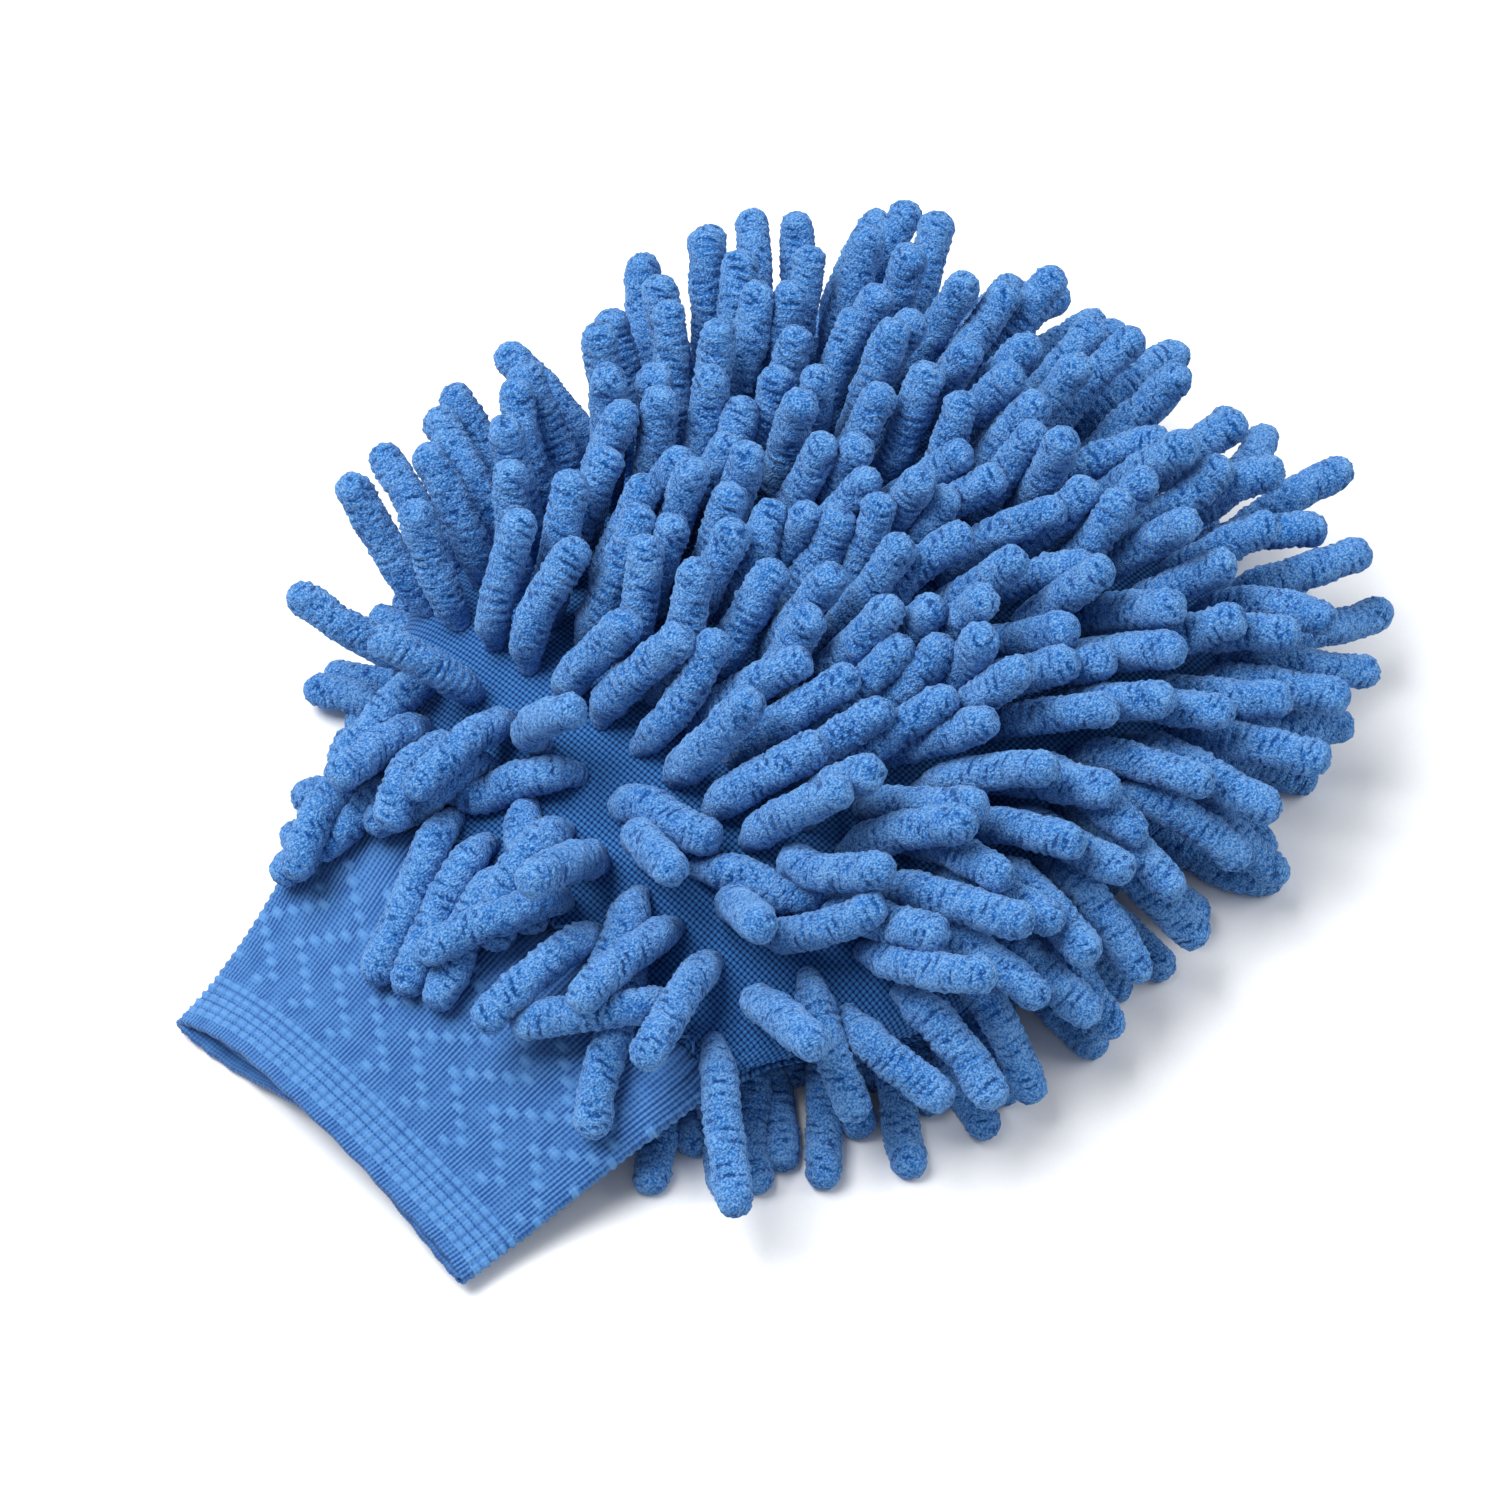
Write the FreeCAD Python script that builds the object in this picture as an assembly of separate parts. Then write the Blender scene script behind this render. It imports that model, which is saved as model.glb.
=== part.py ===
# Chenille wash mitt: a flat pocket of open-weave cloth, closed by a seam round both sides and the tip,
# covered on both sides with rows of fat chenille fingers, and ended by an elasticated rib-knit cuff.
# The mitt lies on its palm side. +X runs from the cuff to the tip, +Y across the width, +Z up.
# The pieces are worked out with the side seam in the plane z = 0 and moved to the part's frame on export:
# its origin is the centre of the underside of the whole mitt's box. All sizes are in millimetres.
import FreeCAD, Part
import math
import os

# Pocket of base cloth
POCKET_LENGTH = 167.0
POCKET_WIDTH = 148.0
MOUTH_WIDTH = 100.0
BACK_CROWN = 20.0          # height of the back panel over the side seam
PALM_CROWN = 5.0           # depth of the palm panel under the side seam
MOUTH_BACK_CROWN = 8.0
MOUTH_FLARE_LENGTH = 45.0  # over which the mouth widens to the full width
TIP_CORNER_LENGTH = 48.0   # over which the plan outline rounds off at the tip
TIP_CROWN_LENGTH = 62.0    # over which the crown falls to the tip
TIP_ROUNDNESS = 2.5        # exponent of the rounded tip
SECTION_ROUNDNESS = 2.2    # exponent of the cross-section
CLOTH = 1.5                # thickness of the base cloth with its backing
TIP_CAP = 0.012            # share of the corner length left flat at the very tip

# Seams and stitching inside the pocket
SEAM_ALLOWANCE = 4.0
SEAM_THICKNESS = 2.0
JOIN_ALLOWANCE = 4.0
JOIN_THICKNESS = 1.5
STITCH_WIDTH = 1.2
STITCH_THICKNESS = 0.5
SEAM_CLEARANCE = 0.2

# Chenille fingers
ROW_COUNT = 16
FINGER_CLEARANCE = 3.3     # between the roots of neighbouring fingers, so that leaning ones stay apart
FINGER_LENGTH = 32.0
NECK_DIAMETER = 2.4
NECK_LENGTH = 4.0
ROOT_SINK = 0.4
FIRST_ROW_INSET = 5.5      # from the mouth to the first row
LAST_ROW_INSET = 7.0       # from the last row to the tip
SIDE_INSET = 4.5           # along the cloth, from the side seam to the first finger
SEAM_HEIGHT = 18.0         # of the side seam over the ground
PALM_PRESS = 1.5           # by which the palm fingers are flattened on the ground
LIFT = 0.20                # how far the back fingers lean from the cloth's normal to upright
COMB = 0.22                # how far they are combed to the -Y side
SPLAY = 0.22               # how far they splay to the cuff and the tip

# Cuff
CUFF_LENGTH = 54.0
CUFF_STEP = 2.0            # by which the cuff's root is narrower than the mouth, each side
CUFF_HEM_WIDTH = 86.0
CUFF_HEM_THICKNESS = 12.0
CUFF_CLOTH = 1.5
CUFF_FLEX = 30.0           # degrees that the cuff bends up or down
CUFF_CLEARANCE = 0.8       # between mouth and cuff when it is bent
CUFF_GROUND_GAP = 0.5
CUFF_SEAM_ALLOWANCE = 3.0
CUFF_SEAM_THICKNESS = 1.6
ELASTIC_WIDTH = 0.8
ELASTIC_THICKNESS = 0.6
ELASTIC_PITCH = 5.0
ELASTIC_END_INSET = 3.0

# How finely the curved shapes are drawn
SECTION_POINTS = 20
MOUTH_STATIONS = 5
TIP_STATIONS = 7
ARC_STEPS = 400
SLOPE_STEP = 0.05
OVERRUN = 2.0              # by which a cutting solid passes a face
REACH = 400.0              # larger than the mitt

TIP_X = POCKET_LENGTH
ROW_PITCH = (POCKET_LENGTH - FIRST_ROW_INSET - LAST_ROW_INSET) / (ROW_COUNT - 1)
FINGER_DIAMETER = ROW_PITCH - FINGER_CLEARANCE
CUFF_ROOT_WIDTH = MOUTH_WIDTH - 2 * CUFF_STEP
CUFF_ROOT_THICKNESS = MOUTH_BACK_CROWN + PALM_CROWN
CUFF_GAP = CUFF_ROOT_THICKNESS * math.tan(math.radians(CUFF_FLEX / 2)) + CUFF_CLEARANCE
HINGE_X = -CUFF_GAP / 2
CUFF_ROOT_X = -CUFF_GAP
CUFF_HEM_X = CUFF_ROOT_X - CUFF_LENGTH
CUFF_ROOT_Z = (MOUTH_BACK_CROWN - PALM_CROWN) / 2
CUFF_HEM_Z = CUFF_GROUND_GAP + CUFF_HEM_THICKNESS / 2 - SEAM_HEIGHT
BACK = 1
PALM = -1


def ease(share):
    """A smooth step from 0 to 1."""
    share = min(max(share, 0.0), 1.0)
    return share * share * (3 - 2 * share)


def tip_rounding(x, tip_x, length):
    """1 along the pocket, falling on a rounded curve to nothing at the tip."""
    share = max((x - tip_x + length) / length, 0.0)
    return (1 - min(share, 1.0) ** TIP_ROUNDNESS) ** (1 / TIP_ROUNDNESS)


def half_width(x, inset):
    """Half the pocket's width at x, inside its outer face by inset."""
    flare = MOUTH_WIDTH + (POCKET_WIDTH - MOUTH_WIDTH) * ease(x / MOUTH_FLARE_LENGTH)
    return (flare / 2 - inset) * tip_rounding(x, TIP_X - inset, TIP_CORNER_LENGTH)


def crown(x, side, inset):
    """Height of the back, or depth of the palm, over the seam plane."""
    full = PALM_CROWN
    if side == BACK:
        rise = ease(x / MOUTH_FLARE_LENGTH)
        full = MOUTH_BACK_CROWN + (BACK_CROWN - MOUTH_BACK_CROWN) * rise
    return (full - inset) * tip_rounding(x, TIP_X - inset, TIP_CROWN_LENGTH)


def cloth_point(x, angle, inset=0.0, edge_inset=0.0):
    """The point of the pocket's section at x, at an angle from the +Y seam."""
    across = math.cos(angle)
    up = math.sin(angle)
    side = BACK if up >= 0 else PALM
    power = 2 / SECTION_ROUNDNESS
    y = half_width(x, inset + edge_inset) * math.copysign(abs(across) ** power, across)
    z = crown(x, side, inset) * math.copysign(abs(up) ** power, up)
    return FreeCAD.Vector(x, y, z)


def cloth_normal(x, angle):
    """The outward normal of the pocket's outer face."""
    along = cloth_point(x + SLOPE_STEP, angle) - cloth_point(x - SLOPE_STEP, angle)
    step = SLOPE_STEP / BACK_CROWN
    around = cloth_point(x, angle + step) - cloth_point(x, angle - step)
    return around.cross(along).normalize()


def closed_wire(points):
    """A smooth closed outline through points."""
    curve = Part.BSplineCurve()
    curve.interpolate(Points=points, PeriodicFlag=True)
    return Part.Wire([curve.toShape()])


def pocket_stations(inset):
    """The places along X of the pocket's sections, the first past the mouth."""
    tip_x = TIP_X - inset
    stations = [-OVERRUN] if inset else []
    stations += [MOUTH_FLARE_LENGTH * k / MOUTH_STATIONS for k in range(MOUTH_STATIONS + 1)]
    shoulder = tip_x - TIP_CROWN_LENGTH
    stations.append((MOUTH_FLARE_LENGTH + shoulder) / 2)
    last = math.asin(1 - TIP_CAP)
    for k in range(TIP_STATIONS + 1):
        stations.append(shoulder + TIP_CROWN_LENGTH * math.sin(last * k / TIP_STATIONS))
    return stations


def pocket_solid(inset, edge_inset=0.0):
    """The pocket's form, filled, moved inwards by inset and at its edges by edge_inset more."""
    turns = [2 * math.pi * k / SECTION_POINTS for k in range(SECTION_POINTS)]
    wires = []
    for x in pocket_stations(inset + edge_inset):
        wires.append(closed_wire([cloth_point(x, turn, inset, edge_inset) for turn in turns]))
    return Part.makeLoft(wires, True, False)


def slab(low, high):
    """A block between two corners."""
    size = high - low
    return Part.makeBox(size.x, size.y, size.z, low)


def half_space(side):
    """Everything over the seam plane, or under it."""
    if side == BACK:
        return slab(FreeCAD.Vector(-REACH, -REACH, 0), FreeCAD.Vector(REACH, REACH, REACH))
    return slab(FreeCAD.Vector(-REACH, -REACH, -REACH), FreeCAD.Vector(REACH, REACH, 0))


def panel(side, outer, inner):
    """One panel of base cloth."""
    return outer.cut(inner).common(half_space(side))


def perimeter_seam(inner):
    """The overlocked allowance inside the sides and the tip."""
    low = FreeCAD.Vector(JOIN_ALLOWANCE + SEAM_CLEARANCE, -REACH, -SEAM_THICKNESS / 2)
    high = FreeCAD.Vector(REACH, REACH, SEAM_THICKNESS / 2)
    return inner.common(slab(low, high)).cut(pocket_solid(CLOTH, SEAM_ALLOWANCE))


def cuff_seam(inner):
    """The gathered allowance that joins pocket and cuff, flat against the inside of the mouth."""
    low = FreeCAD.Vector(0, -REACH, -REACH)
    high = FreeCAD.Vector(JOIN_ALLOWANCE, REACH, REACH)
    return inner.common(slab(low, high)).cut(pocket_solid(CLOTH + JOIN_THICKNESS))


def row_places():
    """The places of the finger rows along X."""
    return [FIRST_ROW_INSET + ROW_PITCH * k for k in range(ROW_COUNT)]


def row_stitching(side, inner):
    """The lines of chain stitch behind the finger rows, on the cloth's inner face."""
    skin = inner.cut(pocket_solid(CLOTH + STITCH_THICKNESS)).common(half_space(side))
    edge = SEAM_THICKNESS / 2 + SEAM_CLEARANCE
    lines = []
    for x in row_places():
        low = FreeCAD.Vector(x - STITCH_WIDTH / 2, -REACH, edge if side == BACK else -REACH)
        high = FreeCAD.Vector(x + STITCH_WIDTH / 2, REACH, REACH if side == BACK else -edge)
        lines += skin.common(slab(low, high)).Solids
    return Part.makeCompound(lines)


def evenly_spread(x, side, staggered):
    """Angles that put fingers a row's pitch apart along the section at x."""
    angles = [side * math.pi * k / ARC_STEPS for k in range(ARC_STEPS + 1)]
    lengths = [0.0]
    for first, second in zip(angles, angles[1:]):
        step = (cloth_point(x, second) - cloth_point(x, first)).Length
        lengths.append(lengths[-1] + step)
    room = lengths[-1] - 2 * SIDE_INSET
    count = int(room / ROW_PITCH) + 1
    if staggered:
        count -= 1
    start = (lengths[-1] - ROW_PITCH * (count - 1)) / 2
    spread = []
    for k in range(count):
        place = start + ROW_PITCH * k
        nearest = min(range(len(lengths)), key=lambda i: abs(lengths[i] - place))
        spread.append(angles[nearest])
    return spread


def finger_direction(x, angle, side):
    """Which way a finger points from its root."""
    splay = SPLAY * (2 * x / POCKET_LENGTH - 1)
    direction = cloth_normal(x, angle) + FreeCAD.Vector(splay, 0, 0)
    if side == BACK:
        direction += FreeCAD.Vector(0, -COMB, LIFT)
    return direction.normalize()


def finger_row(x, side, staggered):
    """Root, direction and length of each finger in one row."""
    length = FINGER_LENGTH
    if side == PALM:
        length = SEAM_HEIGHT - PALM_CROWN + PALM_PRESS
    row = []
    for angle in evenly_spread(x, side, staggered):
        row.append((cloth_point(x, angle), finger_direction(x, angle, side), length))
    return row


def finger_form(length):
    """A finger standing on the origin: pinched root, straight shaft and round tip."""
    radius = FINGER_DIAMETER / 2
    neck = NECK_DIAMETER / 2
    shoulder = length - radius
    turn = math.pi / 4
    outline = [
        FreeCAD.Vector(0, 0, -ROOT_SINK),
        FreeCAD.Vector(neck, 0, -ROOT_SINK),
        FreeCAD.Vector(radius, 0, NECK_LENGTH),
        FreeCAD.Vector(radius, 0, shoulder),
    ]
    tip = FreeCAD.Vector(0, 0, length)
    middle = FreeCAD.Vector(radius * math.cos(turn), 0, shoulder + radius * math.sin(turn))
    edges = [Part.LineSegment(a, b).toShape() for a, b in zip(outline, outline[1:])]
    edges.append(Part.Arc(outline[-1], middle, tip).toShape())
    edges.append(Part.LineSegment(tip, outline[0]).toShape())
    face = Part.Face(Part.Wire(edges))
    return face.revolve(FreeCAD.Vector(0, 0, 0), FreeCAD.Vector(0, 0, 1), 360)


def placed_finger(form, root, direction):
    """A copy of the finger form at its root."""
    finger = form.copy()
    turn = FreeCAD.Rotation(FreeCAD.Vector(0, 0, 1), direction)
    finger.Placement = FreeCAD.Placement(root, turn)
    return finger


def fingers(row, form):
    """The fingers of one row, flattened where they meet the ground."""
    low = FreeCAD.Vector(-REACH, -REACH, -SEAM_HEIGHT)
    above_ground = slab(low, FreeCAD.Vector(REACH, REACH, REACH))
    solids = []
    for root, direction, length in row:
        finger = placed_finger(form, root, direction)
        if root.z + direction.z * length < FINGER_DIAMETER - SEAM_HEIGHT:
            finger = finger.common(above_ground)
        solids += finger.Solids
    return Part.makeCompound(solids)


def cuff_wire(x, inset):
    """The cuff's flat oval section at x."""
    share = (CUFF_ROOT_X - x) / CUFF_LENGTH
    width = CUFF_ROOT_WIDTH + (CUFF_HEM_WIDTH - CUFF_ROOT_WIDTH) * share
    thickness = CUFF_ROOT_THICKNESS + (CUFF_HEM_THICKNESS - CUFF_ROOT_THICKNESS) * share
    middle = CUFF_ROOT_Z + (CUFF_HEM_Z - CUFF_ROOT_Z) * share
    power = 2 / SECTION_ROUNDNESS
    points = []
    for k in range(SECTION_POINTS):
        across = math.cos(2 * math.pi * k / SECTION_POINTS)
        up = math.sin(2 * math.pi * k / SECTION_POINTS)
        y = (width / 2 - inset) * math.copysign(abs(across) ** power, across)
        z = (thickness / 2 - inset) * math.copysign(abs(up) ** power, up)
        points.append(FreeCAD.Vector(x, y, middle + z))
    return closed_wire(points)


def cuff_solid(inset, overrun=0.0):
    """The cuff's form, filled, with its faces moved inwards by inset."""
    wires = [cuff_wire(CUFF_ROOT_X + overrun, inset), cuff_wire(CUFF_HEM_X - overrun, inset)]
    return Part.makeLoft(wires, True, True)


def cuff_side_seam(inner):
    """The allowance that closes the cuff's strip, inside its -Y edge."""
    wires = []
    for x, width, z in (
        (CUFF_ROOT_X, CUFF_ROOT_WIDTH, CUFF_ROOT_Z),
        (CUFF_HEM_X, CUFF_HEM_WIDTH, CUFF_HEM_Z),
    ):
        edge = -width / 2
        inside = edge + CUFF_CLOTH + CUFF_SEAM_ALLOWANCE
        half = CUFF_SEAM_THICKNESS / 2
        corners = [
            FreeCAD.Vector(x, edge, z - half),
            FreeCAD.Vector(x, inside, z - half),
            FreeCAD.Vector(x, inside, z + half),
            FreeCAD.Vector(x, edge, z + half),
        ]
        wires.append(Part.makePolygon(corners + corners[:1]))
    return Part.makeLoft(wires, True, True).common(inner)


def elastic_threads(inner, side_seam):
    """The elastic threads round the inside of the cuff, caught in its side seam."""
    skin = inner.cut(cuff_solid(CUFF_CLOTH + ELASTIC_THICKNESS, OVERRUN))
    room = CUFF_LENGTH - 2 * ELASTIC_END_INSET
    count = int(room / ELASTIC_PITCH) + 1
    threads = []
    for k in range(count):
        x = CUFF_HEM_X + ELASTIC_END_INSET + ELASTIC_PITCH * k
        low = FreeCAD.Vector(x - ELASTIC_WIDTH / 2, -REACH, -REACH)
        high = FreeCAD.Vector(x + ELASTIC_WIDTH / 2, REACH, REACH)
        threads += skin.common(slab(low, high)).cut(side_seam).Solids
    return Part.makeCompound(threads)


def finger_rows():
    """Every row of fingers by the name of its node."""
    rows = {}
    for number, x in enumerate(row_places(), start=1):
        staggered = number % 2 == 0
        rows[f"back_fingers_{number:02d}"] = finger_row(x, BACK, staggered)
        rows[f"palm_fingers_{number:02d}"] = finger_row(x, PALM, staggered)
    return rows


def origin_shift(rows):
    """The move that puts the origin under the middle of the mitt's box."""
    radius = FINGER_DIAMETER / 2
    centres = []
    for row in rows.values():
        centres += [root + direction * (length - radius) for root, direction, length in row]
    front = max(centre.x for centre in centres) + radius
    left = max(centre.y for centre in centres) + radius
    right = min(centre.y for centre in centres) - radius
    return FreeCAD.Vector(-(front + CUFF_HEM_X) / 2, -(left + right) / 2, SEAM_HEIGHT)


def mitt_pieces(rows):
    """Every piece of the mitt by the name of its node, one at a time."""
    outer = pocket_solid(0.0)
    inner = pocket_solid(CLOTH)
    yield "back_panel", panel(BACK, outer, inner)
    yield "palm_panel", panel(PALM, outer, inner)
    yield "perimeter_seam", perimeter_seam(inner)
    yield "cuff_seam", cuff_seam(inner)
    yield "back_row_stitching", row_stitching(BACK, inner)
    yield "palm_row_stitching", row_stitching(PALM, inner)
    forms = {}
    for name, row in rows.items():
        length = row[0][2]
        if length not in forms:
            forms[length] = finger_form(length)
        yield name, fingers(row, forms[length])
    cuff_inner = cuff_solid(CUFF_CLOTH)
    side_seam = cuff_side_seam(cuff_inner)
    yield "cuff", cuff_solid(0.0).cut(cuff_solid(CUFF_CLOTH, OVERRUN))
    yield "cuff_side_seam", side_seam
    yield "cuff_elastic_threads", elastic_threads(cuff_inner, side_seam)


def main():
    """Build the pieces, move them to the part's frame and write them."""
    os.makedirs("parts", exist_ok=True)
    rows = finger_rows()
    shift = origin_shift(rows)
    for name, shape in mitt_pieces(rows):
        shape.translate(shift)
        shape.exportStep(f"parts/{name}.step")
        print(f"{name}: {len(shape.Solids)} solids, {shape.Volume / 1000:.2f} cm3")
    hinge = FreeCAD.Vector(HINGE_X, 0, CUFF_ROOT_Z) + shift
    print(f"cuff hinge at {hinge.x:.3f} {hinge.y:.3f} {hinge.z:.3f}")
    print(f"shift {shift.x:.4f} {shift.y:.4f} {shift.z:.4f}")


main()
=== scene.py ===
"""Chenille wash mitt: its looks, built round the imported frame.

Two cloth panels make the pocket, and a knit cuff closes round the wrist. Rows of fat
chenille fingers cover both panels. Each piece stands for the node of the same part and
goes where that node is. All lengths are in metres unless a name says otherwise.
"""
import logging
import math
from dataclasses import dataclass
from enum import Enum

import bpy
import numpy as np
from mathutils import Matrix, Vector


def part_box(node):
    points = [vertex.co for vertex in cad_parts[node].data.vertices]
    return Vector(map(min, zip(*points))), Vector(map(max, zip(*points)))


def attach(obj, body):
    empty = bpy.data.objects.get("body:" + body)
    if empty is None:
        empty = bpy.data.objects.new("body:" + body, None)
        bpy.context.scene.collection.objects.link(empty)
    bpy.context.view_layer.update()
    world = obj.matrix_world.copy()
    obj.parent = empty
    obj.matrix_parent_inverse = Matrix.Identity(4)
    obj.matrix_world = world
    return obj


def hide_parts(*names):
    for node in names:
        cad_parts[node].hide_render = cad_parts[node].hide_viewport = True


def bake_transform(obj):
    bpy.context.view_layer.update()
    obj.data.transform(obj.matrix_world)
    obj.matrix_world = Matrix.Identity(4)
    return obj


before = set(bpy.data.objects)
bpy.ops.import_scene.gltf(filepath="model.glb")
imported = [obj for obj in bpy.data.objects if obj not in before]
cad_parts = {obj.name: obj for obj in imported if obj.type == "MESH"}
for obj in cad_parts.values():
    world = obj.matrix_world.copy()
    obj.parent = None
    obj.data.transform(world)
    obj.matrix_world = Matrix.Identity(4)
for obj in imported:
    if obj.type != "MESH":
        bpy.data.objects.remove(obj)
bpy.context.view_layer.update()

LOG = logging.getLogger("wash_mitt")
MM = 0.001
TURN = 2 * math.pi
Array = np.ndarray
Colour = tuple[float, float, float]


class Side(Enum):
    """Which face of the mitt a piece belongs to."""

    BACK = 1
    PALM = -1

    @property
    def word(self) -> str:
        """The side's name as the nodes spell it."""
        return self.name.lower()


# ---------------------------------------------------------------- general helpers


def ease(share: Array) -> Array:
    """A smooth step from 0 to 1."""
    share = np.clip(share, 0.0, 1.0)
    return share * share * (3 - 2 * share)


def unit(vectors: Array) -> Array:
    """Vectors scaled to length 1."""
    return vectors / np.maximum(np.linalg.norm(vectors, axis=-1, keepdims=True), 1e-12)


def signed_power(value: Array, power: float) -> Array:
    """A power that keeps its base's sign."""
    return np.sign(value) * np.abs(value) ** power


def deselect() -> None:
    """Leave object mode clean, with nothing selected."""
    if bpy.context.object is not None and bpy.context.object.mode != "OBJECT":
        bpy.ops.object.mode_set(mode="OBJECT")
    bpy.ops.object.select_all(action="DESELECT")


def choose(obj: bpy.types.Object) -> None:
    """Make an object the only selected and active one."""
    deselect()
    obj.select_set(True)
    bpy.context.view_layer.objects.active = obj


def points_of(obj: bpy.types.Object) -> Array:
    """An object's vertex places."""
    flat = np.empty(len(obj.data.vertices) * 3)
    obj.data.vertices.foreach_get("co", flat)
    return flat.reshape(-1, 3)


def set_points(obj: bpy.types.Object, points: Array) -> None:
    """Move an object's vertices."""
    obj.data.vertices.foreach_set("co", points.astype(np.float32).ravel())
    obj.data.update()


def set_uv(obj: bpy.types.Object, uv: Array) -> None:
    """Give each vertex a place in the piece's UV map.

    Args:
        obj: the mesh object.
        uv: one pair of numbers for each vertex.
    """
    corners = np.empty(len(obj.data.loops), dtype=np.int64)
    obj.data.loops.foreach_get("vertex_index", corners)
    layer = obj.data.uv_layers.active or obj.data.uv_layers.new(name="UVMap")
    layer.data.foreach_set("uv", uv[corners].astype(np.float32).ravel())


def set_mask(obj: bpy.types.Object, name: str, values: Array) -> None:
    """Store one number for each vertex under a name."""
    attribute = obj.data.attributes.new(name, "FLOAT", "POINT")
    attribute.data.foreach_set("value", values.astype(np.float32))


def apply_modifiers(obj: bpy.types.Object) -> None:
    """Apply every modifier in order."""
    choose(obj)
    for modifier in list(obj.modifiers):
        bpy.ops.object.modifier_apply(modifier=modifier.name)


def merge_doubles(obj: bpy.types.Object, distance: float) -> None:
    """Merge vertices that lie together."""
    choose(obj)
    bpy.ops.object.mode_set(mode="EDIT")
    bpy.ops.mesh.select_all(action="SELECT")
    bpy.ops.mesh.remove_doubles(threshold=distance)
    bpy.ops.object.mode_set(mode="OBJECT")


def face_outwards(obj: bpy.types.Object, centres: Array | None = None) -> None:
    """Point a sheet's faces away from its centre line.

    Args:
        obj: the mesh object.
        centres: for each vertex, the point that its face looks away from. None asks
            Blender to turn a closed mesh outwards.
    """
    choose(obj)
    bpy.ops.object.mode_set(mode="EDIT")
    bpy.ops.mesh.select_all(action="SELECT")
    bpy.ops.mesh.normals_make_consistent(inside=False)
    bpy.ops.object.mode_set(mode="OBJECT")
    if centres is None:
        return
    normals = np.empty(len(obj.data.vertices) * 3)
    obj.data.vertices.foreach_get("normal", normals)
    away = (normals.reshape(-1, 3) * (points_of(obj) - centres)).sum(axis=1).sum()
    if away < 0:
        bpy.ops.object.mode_set(mode="EDIT")
        bpy.ops.mesh.flip_normals()
        bpy.ops.object.mode_set(mode="OBJECT")


def smooth(obj: bpy.types.Object) -> None:
    """Shade every face smooth."""
    choose(obj)
    bpy.ops.object.shade_smooth()


def grid_sheet(name: str, columns: int, rows: int) -> tuple[bpy.types.Object, Array, Array]:
    """A flat grid to be bent into a sheet.

    Args:
        name: the piece's name.
        columns: faces along the first direction.
        rows: faces along the second.

    Returns:
        The object, and each vertex's share from 0 to 1 along both directions.
    """
    deselect()
    bpy.ops.mesh.primitive_grid_add(x_subdivisions=columns, y_subdivisions=rows, size=1.0)
    obj = bpy.context.object
    obj.name = name
    obj.data.name = name
    flat = points_of(obj)
    return obj, np.clip(flat[:, 0] + 0.5, 0, 1), np.clip(flat[:, 1] + 0.5, 0, 1)


def thicken(obj: bpy.types.Object, thickness: float) -> None:
    """Give a sheet its thickness on its inner side."""
    solidify = obj.modifiers.new("cloth thickness", "SOLIDIFY")
    solidify.thickness = thickness
    solidify.offset = -1.0
    solidify.use_even_offset = False
    apply_modifiers(obj)


def join(objects: list[bpy.types.Object], name: str) -> bpy.types.Object:
    """Join objects into one piece."""
    deselect()
    for obj in objects:
        obj.select_set(True)
    bpy.context.view_layer.objects.active = objects[0]
    bpy.ops.object.join()
    objects[0].name = name
    objects[0].data.name = name
    return objects[0]


def tiled(
    name: str, forms: list[bpy.types.Object], picks: Array, places: list[Array]
) -> bpy.types.Object:
    """Copies of modelled forms, each with its own vertex places, in one mesh.

    Args:
        name: the piece's name.
        forms: the modelled shapes.
        picks: which form each copy is.
        places: the vertex places of each copy.

    Returns:
        The new object.
    """
    faces: list[tuple[int, ...]] = []
    start = 0
    loops = [[tuple(polygon.vertices) for polygon in form.data.polygons] for form in forms]
    for pick, points in zip(picks, places):
        faces += [tuple(start + corner for corner in face) for face in loops[pick]]
        start += len(points)
    mesh = bpy.data.meshes.new(name)
    mesh.from_pydata(np.concatenate(places).tolist(), [], faces)
    obj = bpy.data.objects.new(name, mesh)
    bpy.context.scene.collection.objects.link(obj)
    return obj


def discard(objects: list[bpy.types.Object]) -> None:
    """Remove modelling forms that aren't pieces."""
    for obj in objects:
        bpy.data.objects.remove(obj)


def dress(obj: bpy.types.Object, material: bpy.types.Material) -> None:
    """Give a piece its material."""
    obj.data.materials.clear()
    obj.data.materials.append(material)


# ---------------------------------------------------------------- node group tools


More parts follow.
